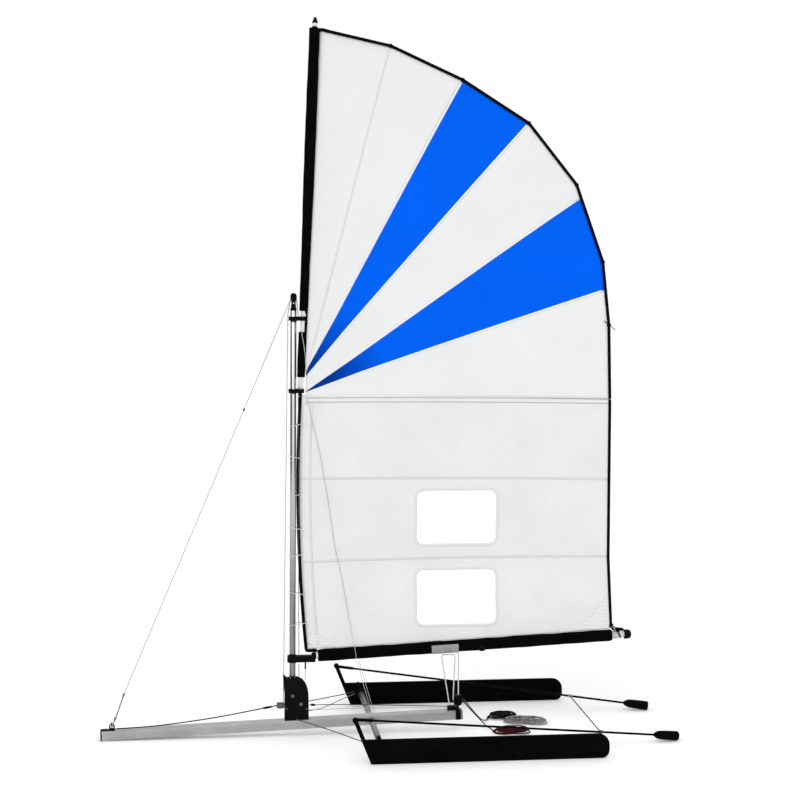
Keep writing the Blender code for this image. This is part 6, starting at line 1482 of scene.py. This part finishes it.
BRAIL_RADIUS = 0.0008
brail_front = -SLEEVE_HALF_THICKNESS - ROPE_LIGHT - 2 * GAP
brail_places = np.array(((0.0430, 1.0420), (0.0830, 0.8715), (0.1050, 0.7517), (0.1304, 0.5817),
                         (0.1524, 0.4884), (0.1746, 0.3603)))
brail_on_sail = on_sail(plane_line(brail_places, 0.02), -CLOTH - ROPE_LIGHT - 2 * GAP)
brail_path = np.vstack((brail_on_sail, ((0.1880, brail_front, 0.2850), (0.1937, brail_front, 0.2600),
                                        (0.1965, brail_front, 0.2385))))
fold_down(rope_piece("brail_upper_braid", brail_path, BRAIL_RADIUS, "boom", pale_rope,
                     ["brail_line_upper"], spacing=0.006))
bar_top_z = float(deck_at(PIVOT[0], 0, BAR_HEIGHT)[2]) + 3 * GAP
brail_low = [(0.1968, brail_front, 0.2345), (0.2180, brail_front * 0.8, 0.1600), (0.2400, brail_front / 2, 0.0860),
             (PIVOT[0] + 0.002, 0, bar_top_z)]
rope_piece("brail_lower_braid", smooth_route(brail_low, 0.01), BRAIL_RADIUS, "rig_base", pale_rope,
           ["brail_line_lower"])
tie_ends, tie_knots = [], []
for side in (-1, 1):
    start, end = rod_line(side)
    place = start + (end - start) * 0.75
    tie_ends.append(place - (0, side * (ROD_RADIUS + 2 * GAP), 0))
    tie_knots.append([turns_part(place, end - start, ROD_RADIUS + 0.0011, 0.0014, 4, 0.0030)])
rope_piece("rod_tie_braid", np.linspace(*tie_ends, 40), 0.0018, "rod_near", dark_flecked_rope,
           ["rod_tie"], spacing=0.006)
add_piece("rod_tie_knot_near", tie_knots[0], "rod_near", dark_flecked_rope)
add_piece("rod_tie_knot_far", tie_knots[1], "rod_far", pale_rope)

# %% [markdown]
# ## The sheet's loose ends and the three bundles
# Two ends of the sheet run down from the block to the floor. A bundle on the floor is one unbroken line:
# loops spiral inward, climb in the half turn where they reverse, and spiral outward on top. The loops
# narrow in the middle, where a bundle is tied.

# %% Bundles: a route by formula, in the skeleton's sizes
HANK_LOOPS, HANK_STEP, HANK_WAIST = 4, 0.0051, 0.62
HANK_LAYER, HANK_RISE, HANK_RADIUS = 0.0052, 0.0090, 0.0018
HANKS = (
    ("hank_black", (0.684, 0.122, 0), 0.092, 0.070, math.radians(-8), 1, speckled_rope, "black_rope"),
    ("hank_grey", (0.746, 0.0584, 0), 0.138, 0.070, math.radians(-14), 1, grey_rope, "grey_rope"),
    ("hank_red", (0.683, -0.046, 0), 0.112, 0.064, math.radians(-4), -1, red_rope, "dark_red_rope"),
)


def hank_path(centre, length, width, heading, way, per_loop=72):
    """x = -(length / 2 - inward) cos t, y = way (width / 2 - inward) sin t * waist, z rises towards the middle.

    Slow sine waves that fade at both ends make the loops as untidy as a hand leaves them."""
    total = 2 * HANK_LOOPS
    turns = np.arange(total * per_loop + 1) / per_loop
    inward = HANK_STEP * np.minimum(turns, total - turns)
    climb = np.clip((turns - HANK_LOOPS + 0.25) / 0.5, 0, 1)
    angle = 2 * np.pi * turns
    x = -(length / 2 - inward) * np.cos(angle)
    waist = 1 - (1 - HANK_WAIST) * np.exp(-((x / (length * 0.2)) ** 2))
    y = way * (width / 2 - inward) * np.sin(angle) * waist
    z = HANK_RADIUS + GAP + HANK_LAYER * climb + HANK_RISE * inward / (HANK_LOOPS * HANK_STEP)
    loose = np.minimum(1, 1.5 * np.minimum(turns, total - turns))
    x += loose * 0.0040 * np.sin(0.61 * angle + 0.5)
    y += loose * 0.0030 * np.sin(1.37 * angle + 1.1)
    z += loose * 0.0016 * (1 + np.sin(0.83 * angle))
    turn, slip = math.cos(heading), math.sin(heading)
    return np.stack((centre[0] + x * turn - y * slip, centre[1] + x * slip + y * turn, centre[2] + z), -1)


# %% A rope that lies on the floor, and what binds a bundle
def flat_swept(path, radius):
    """A rope whose rings stand on Z: for lines that lie on the floor, where Z is never along the line."""
    return tube_about(path, (0, 0, 1.0), radius, 12)


def bound_parts(centre, length, width, heading):
    """What holds a bundle: an oval helix round its waist, and two spare loops that lie over its ends."""
    along = np.array((math.cos(heading), math.sin(heading), 0))
    across = np.array((-along[1], along[0], 0))
    t = np.linspace(0, 2 * np.pi * 4.4, 150)[:, None]
    high = 0.0092
    helix = (np.array(centre) + along * (0.0041 * (t / (2 * np.pi) - 2.2) + 0.0025 * np.cos(t))
             + across * (width / 2 * HANK_WAIST + 0.0014) * np.cos(t) + (0, 0, high + HANK_RADIUS)
             + np.array((0, 0, high)) * np.sin(t))
    aft = ((-0.12, -0.05, 0.0190), (0.12, 0.12, 0.0205), (0.36, 0.20, 0.0160), (0.47, 0.02, 0.0120),
           (0.38, -0.17, 0.0130), (0.18, -0.14, 0.0185), (0.02, 0.05, 0.0205))
    fore = ((0.10, 0.10, 0.0200), (-0.14, 0.16, 0.0195), (-0.34, 0.10, 0.0160), (-0.44, -0.06, 0.0120),
            (-0.30, -0.20, 0.0125), (-0.12, -0.16, 0.0175), (0.06, -0.02, 0.0235))
    parts = [tube_about(helix, along, HANK_RADIUS)]
    for steps in (aft, fore):
        spare = [np.array(centre) + along * a * length + across * b * width + (0, 0, z) for a, b, z in steps]
        parts.append(flat_swept(smooth_route(spare, 0.002), HANK_RADIUS))
    return parts


# %% The bundles, and the two ends of the sheet
floor = ROPE_SHEET + GAP
block_face = centre_of("sheet_block") * (1, 0, 1) + BAR_AIM * (0.013 + 2 * GAP + ROPE_SHEET * 0.75)
hank_paths, hank_bindings = {}, {}
for name, centre, length, width, heading, way, material, slot in HANKS:
    path = hank_path(centre, length, width, heading, way)
    made = add_piece(f"{name}_rope", [flat_swept(path, HANK_RADIUS)], "rig_base", material, [name])
    hank_paths[name] = (made, path)
    print(name, "rope length", round(length_of(path), 3))
    hank_bindings[name] = add_piece(f"{name}_bound", bound_parts(centre, length, width, heading), "rig_base",
                                    material)
tails = (
    ("sheet_tail_far", "hank_black", (0, 0.0045, 0.003),
     ((0.545, 0.012, 0.086), (0.565, 0.034, 0.060), (0.589, 0.059, 0.030), (0.611, 0.082, 0.007),
      (0.629, 0.100, floor))),
    ("sheet_tail_near", "hank_red", (0, -0.0035, -0.004),
     ((0.545, -0.001, 0.080), (0.567, 0.003, 0.055), (0.593, 0.006, 0.027), (0.614, 0.004, 0.007),
      (0.626, -0.010, floor))),
)
tail_paths = {}
for name, hank, away, middle in tails:
    hank_route = hank_paths[hank][1]
    end = hank_route[0] - unit(hank_route[3] - hank_route[0]) * 3 * GAP
    route = smooth_route([block_face + away, *middle, end], 0.004)
    route[:, 2] = np.maximum(route[:, 2], floor)
    made = add_piece(f"{name}_rope", [flat_swept(route, ROPE_SHEET)], "rig_base", dark_flecked_rope,
                     [name])
    tail_paths[name] = (made, route)

# %% [markdown]
# ## Small fittings
# These are too small for the skeleton: loops that tie the luff to the mast, screws of the foot, the clew's
# outhaul, the lashing at the tack, a cleat on the boom's side, and the knots of the sheet's tails.

# %% Loops that tie the luff rope to the mast
TIE_HEIGHTS = (0.9635, 0.8652, 0.7482, 0.6461, 0.5623, 0.4440, 0.3484)


def loop_part(z, rope_radius, lean):
    """An oval loop round mast and luff rope: an ellipse in plan, tilted a little, closed on itself."""
    luff = float(luff_x(z))
    centre = np.array((luff / 2, 0.0, z))
    half_x, half_y = luff / 2 + MAST_RADIUS + 0.0016, MAST_RADIUS + 0.0021
    t = 2 * np.pi * np.arange(60) / 60
    path = centre + np.stack((half_x * np.cos(t), half_y * np.sin(t), lean * np.cos(t)), -1)
    tangent = unit(np.roll(path, -1, 0) - np.roll(path, 1, 0))
    side = unit(np.cross(tangent, (0, 0, 1.0)))
    rings = path[:, None] + rope_radius * circle(side, np.cross(side, tangent), 8)
    return hoop(rings, np.arange(61) * 0.0016, 2 * np.pi * rope_radius)


for index, height in enumerate(TIE_HEIGHTS):
    fold_down(add_piece(f"luff_tie_{index + 1}", [loop_part(height, 0.0010, 0.004 * (-1) ** index)], "boom",
                        white_rope))

# %% Screws in the foot's cheeks, and the ring under the gaff's cap
screw = [(0, 0.0016), (0.0017, 0.0016), (0.0026, 0.0009), (0.0028, 0.0), (0, 0.0)]
screws = [turned(screw, (x, side * (CHEEK_FACE + 0.0001), z), (0, side, 0), 20)
          for side in (-1, 1) for x, z in ((-0.0180, 0.0847), (0.0425, 0.0832))]
add_piece("foot_screws", screws, "rig_base", steel)
head_ring = [(0.0044, 0.0035), (0.0060, 0.0035), (0.0066, 0.0048), (0.0066, 0.0125), (0.0058, 0.0140),
             (0.0044, 0.0140)]
add_piece("gaff_head_ring", [ring_part(head_ring, gaff_at(GAFF_LENGTH + GAP), GAFF_AIM, 0.002, 0.04)], "gaff",
          white_tube)

# %% Outhaul: turns of white rope round the boom's end with two runs to the clew, and a black lashing over them
outhaul_parts = [turns_part(boom_at(x), BOOM_AIM, BOOM_RADIUS + 0.0013, 0.0012, 3, 0.0025)
                 for x in (1.0130, 1.0215)]
for y in (-0.0052, 0.0052):
    clew_end = np.array((CLEW_X + 0.002, y * 0.8, clew_foot + 0.0115))
    clew_run = (clew_end, (clew_end[0] + 0.008, y * 1.3, clew_end[2] - 0.008),
                boom_at(1.0165) + (0, y * 1.9, 0.0075))
    outhaul_parts.append(swept(smooth_route(clew_run, 0.002), 0.0011, 10))
add_piece("outhaul_lashing", outhaul_parts, "boom", white_rope)
over_boom = [boom_at(x) + (0, y, height)
             for x, y, height in ((1.0090, -0.0035, 0.0200), (1.0190, -0.0030, 0.0168), (1.0290, 0.0, 0.0158),
                                  (1.0375, 0.0, 0.0140))]
clew_knot = np.array((CLEW_X + 0.001, -0.001, clew_foot))
black_turns = [swept(smooth_route([clew_knot + (0, 0, 0.0150), *over_boom], 0.002), 0.0034, 12),
               turns_part(boom_at(1.0215) + (0, -0.0030, 0.0160), BOOM_AIM, 0.0046, 0.0018, 5, 0.0037),
               turns_part(clew_knot + (0, 0, 0.0130), (0.3, 0, 1), 0.0050, 0.0017, 3, 0.0036),
               turns_part(boom_at(1.0290) + (0, 0, 0.0020), BOOM_AIM + (0, 0, 0.35), BOOM_RADIUS + 0.0030, 0.0012,
                          1.6, 0.0030)]
add_piece("outhaul_black_lashing", black_turns, "boom", black_rope)

# %% Tack lashing, the cleat on the boom's side, and the tie at the leech
tack_turns = turns_part((0.0665, 0, TACK_HEIGHT), (1, 0, 0.02), LUFF_RADIUS * 0.98 + 0.0008, 0.0009, 3, 0.0018)
add_piece("tack_lashing", [tack_turns], "boom", black_rope)
FITTING_X, FITTING_SIZE = 0.5893, (0.0186, 0.0060, 0.0200)


def rounded_block(centre, size, rows=9, sides=48):
    """A block along the boom: |x/a|^5 + |z/b|^5 = 1 across, with edges that shrink in at both faces."""
    angle = 2 * np.pi * np.arange(sides) / sides
    across, height = (np.sign(wave) * np.abs(wave) ** 0.4 * reach / 2
                      for wave, reach in ((np.cos(angle), size[0]), (np.sin(angle), size[2])))
    depth = np.linspace(-1, 1, rows)
    shrink = (1 - 0.098 * np.abs(depth) ** 6)[:, None, None]
    rings = (np.asarray(centre) + BOOM_AIM * across[None, :, None] * shrink
             - np.cross(BOOM_AIM, DEPTH) * height[None, :, None] * shrink
             + DEPTH * (depth * size[1] / 2)[:, None, None])
    middle = rings.mean(1, keepdims=True).repeat(sides, 1)
    rings = np.concatenate((middle[:1], rings, middle[-1:]))
    along = np.concatenate(([0], depth, [0]))
    return loft(rings, np.abs(along) * size[1], 2 * (size[0] + size[2]))


fitting_y = -SLEEVE_HALF_THICKNESS * 0.94 - FITTING_SIZE[1] / 2
fitting_at = boom_at(FITTING_X) - BOOM_UP * 0.0085 + (0, fitting_y, 0)
fitting = [rounded_block(fitting_at, FITTING_SIZE)]
for height in (0.0055, -0.0055):
    fitting.append(turned(screw, fitting_at + BOOM_UP * height - (0, FITTING_SIZE[1] / 2, 0), (0, -1, 0), 16))
add_piece("boom_side_cleat", fitting, "boom", black_plastic)
tie_start, tie_end = np.array((0.9626, -0.0030, 1.2835)), np.array((0.9981, -0.0045, 1.2557))
tie_y = sail_y(tie_start[0], tie_start[2]) - 0.0022
tie_route = (tie_start * (1, 0, 1) + (0, tie_y, 0), (0.9800, -0.0052, 1.2705), tie_end)
leech_tie = [swept(smooth_route(tie_route, 0.003), 0.0012, 10),
             turns_part((0.9788, 0, 1.2705), (0.1, 0, 1), LEECH_RADIUS + 0.0009, 0.0010, 2, 0.0021)]
add_piece("leech_tie", leech_tie, "gaff", black_rope)

# %% The second fall of the brail
second_fall = [np.array(point) + (0.0075, 0.0045, 0) for point in brail_low]
second_fall[-1] = np.array(brail_low[-1]) + (0.0075, 0.0032, 0.0003)
rope_piece("brail_lower_second", smooth_route(second_fall, 0.01), BRAIL_RADIUS, "rig_base", pale_rope,
           spacing=0.004)

# %% Knots where the sheet's tails meet their bundles
for tail, material in (("sheet_tail_far", speckled_rope), ("sheet_tail_near", red_rope)):
    route = tail_paths[tail][1]
    knot = turns_part(route[-3] + (0, 0, 0.0012), route[-1] - route[-6], 0.0026, 0.0013, 3, 0.0027)
    add_piece(f"{tail}_knot", [knot], "rig_base", material)

# %% [markdown]
# ## Ropes with their stiffness and lay
# A table gives each rope's name, stiffness and lay; the loop only reads back its piece, path and radius from ROPES.


for name, stiffness, lay in (
        ("halyard_braid", "limp", "taut"), ("downhaul_braid", "limp", "taut"), ("forestay_wire", "stiff", "taut"),
        ("forestay_lanyard", "medium", "taut"), ("control_line_braid", "medium", "hanging"),
        ("brace_near_braid", "medium", "hanging"), ("brace_far_braid", "medium", "hanging"),
        ("mainsheet_braid", "limp", "taut"), ("brail_upper_braid", "limp", "taut"),
        ("brail_lower_braid", "limp", "hanging"), ("brail_lower_second", "limp", "hanging"),
        ("rod_tie_braid", "limp", "taut"), ("downhaul_fall", "limp", "hanging"),
        ("tack_line_fall", "limp", "hanging"), ("brace_far_second", "medium", "hanging"),
        ("bar_line_upper", "limp", "taut"), ("bar_line_lower", "limp", "taut")):
    piece, path, radius = ROPES[name]

# %% [markdown]
# ## The studio
# A pale floor catches the object's soft shadow. The world lights the scene evenly from all round, and shows
# pure white behind it. Shiny tubes need something dark to reflect, or they look flat: for glossy rays
# the world turns dark towards both sides, which gives each tube its two dark edge lines.

# %% Floor
FLOOR_REACH, FLOOR_DROP = 16.0, 0.0006
floor_mesh = bpy.data.meshes.new("floor")
corners = [(x * FLOOR_REACH, y * FLOOR_REACH, -FLOOR_DROP) for x, y in ((-1, -1), (1, -1), (1, 1), (-1, 1))]
floor_mesh.from_pydata(corners, [], [(0, 1, 2, 3)])
floor_piece = bpy.data.objects.new("floor", floor_mesh)
bpy.context.scene.collection.objects.link(floor_piece)
floor_look, tree, shader = start_material("studio_floor", 0.9, Specular_IOR_Level=0.0)
shader.inputs["Base Color"].default_value = (0.985, 0.985, 0.985, 1)
shader.inputs["Emission Color"].default_value = (1, 1, 1, 1)
camera_ray = node(tree, "ShaderNodeLightPath").outputs["Is Camera Ray"]
tree.links.new(maths(tree, "MULTIPLY", camera_ray, 0.10), shader.inputs["Emission Strength"])
floor_mesh.materials.append(floor_look)

# %% World: white to the camera, soft light for surfaces, dark side bands for reflections
world = bpy.data.worlds.new("studio")
world.use_nodes = True
bpy.context.scene.world = world
tree = world.node_tree
tree.nodes.clear()
rays = node(tree, "ShaderNodeLightPath")
direction = node(tree, "ShaderNodeTexCoord").outputs["Object"]
sideways = maths(tree, "ABSOLUTE", node(tree, "ShaderNodeSeparateXYZ", {0: direction}).outputs[0])
band = remap(tree, sideways, 0.48, 0.72, 1.0, 0.10, interpolation_type="SMOOTHSTEP")
reflected = node(tree, "ShaderNodeCombineColor", {0: band, 1: band, 2: band})
soft_light = node(tree, "ShaderNodeBackground", {"Color": (0.86, 0.86, 0.86, 1), "Strength": 1.0})
mirror_light = node(tree, "ShaderNodeBackground", {"Color": reflected.outputs[0], "Strength": 1.0})
white_light = node(tree, "ShaderNodeBackground", {"Color": (1, 1, 1, 1), "Strength": 1.0})
first_mix = node(tree, "ShaderNodeMixShader", {0: rays.outputs["Is Glossy Ray"], 1: soft_light.outputs[0],
                                               2: mirror_light.outputs[0]})
seen = maths(tree, "MAXIMUM", rays.outputs["Is Camera Ray"], rays.outputs["Is Transmission Ray"])
last_mix = node(tree, "ShaderNodeMixShader", {0: seen, 1: first_mix.outputs[0], 2: white_light.outputs[0]})
node(tree, "ShaderNodeOutputWorld", {"Surface": last_mix.outputs[0]})

# %% A soft key light from the upper left, and the plain view transform
SUN_TURN = (math.radians(38), math.radians(-14), math.radians(-20))
sun_light = bpy.data.lights.new("key", "SUN")
sun_light.energy, sun_light.angle = 0.62, math.radians(55)
sun = bpy.data.objects.new("key", sun_light)
sun.rotation_euler = SUN_TURN
bpy.context.scene.collection.objects.link(sun)
bpy.context.scene.view_settings.view_transform = "Standard"
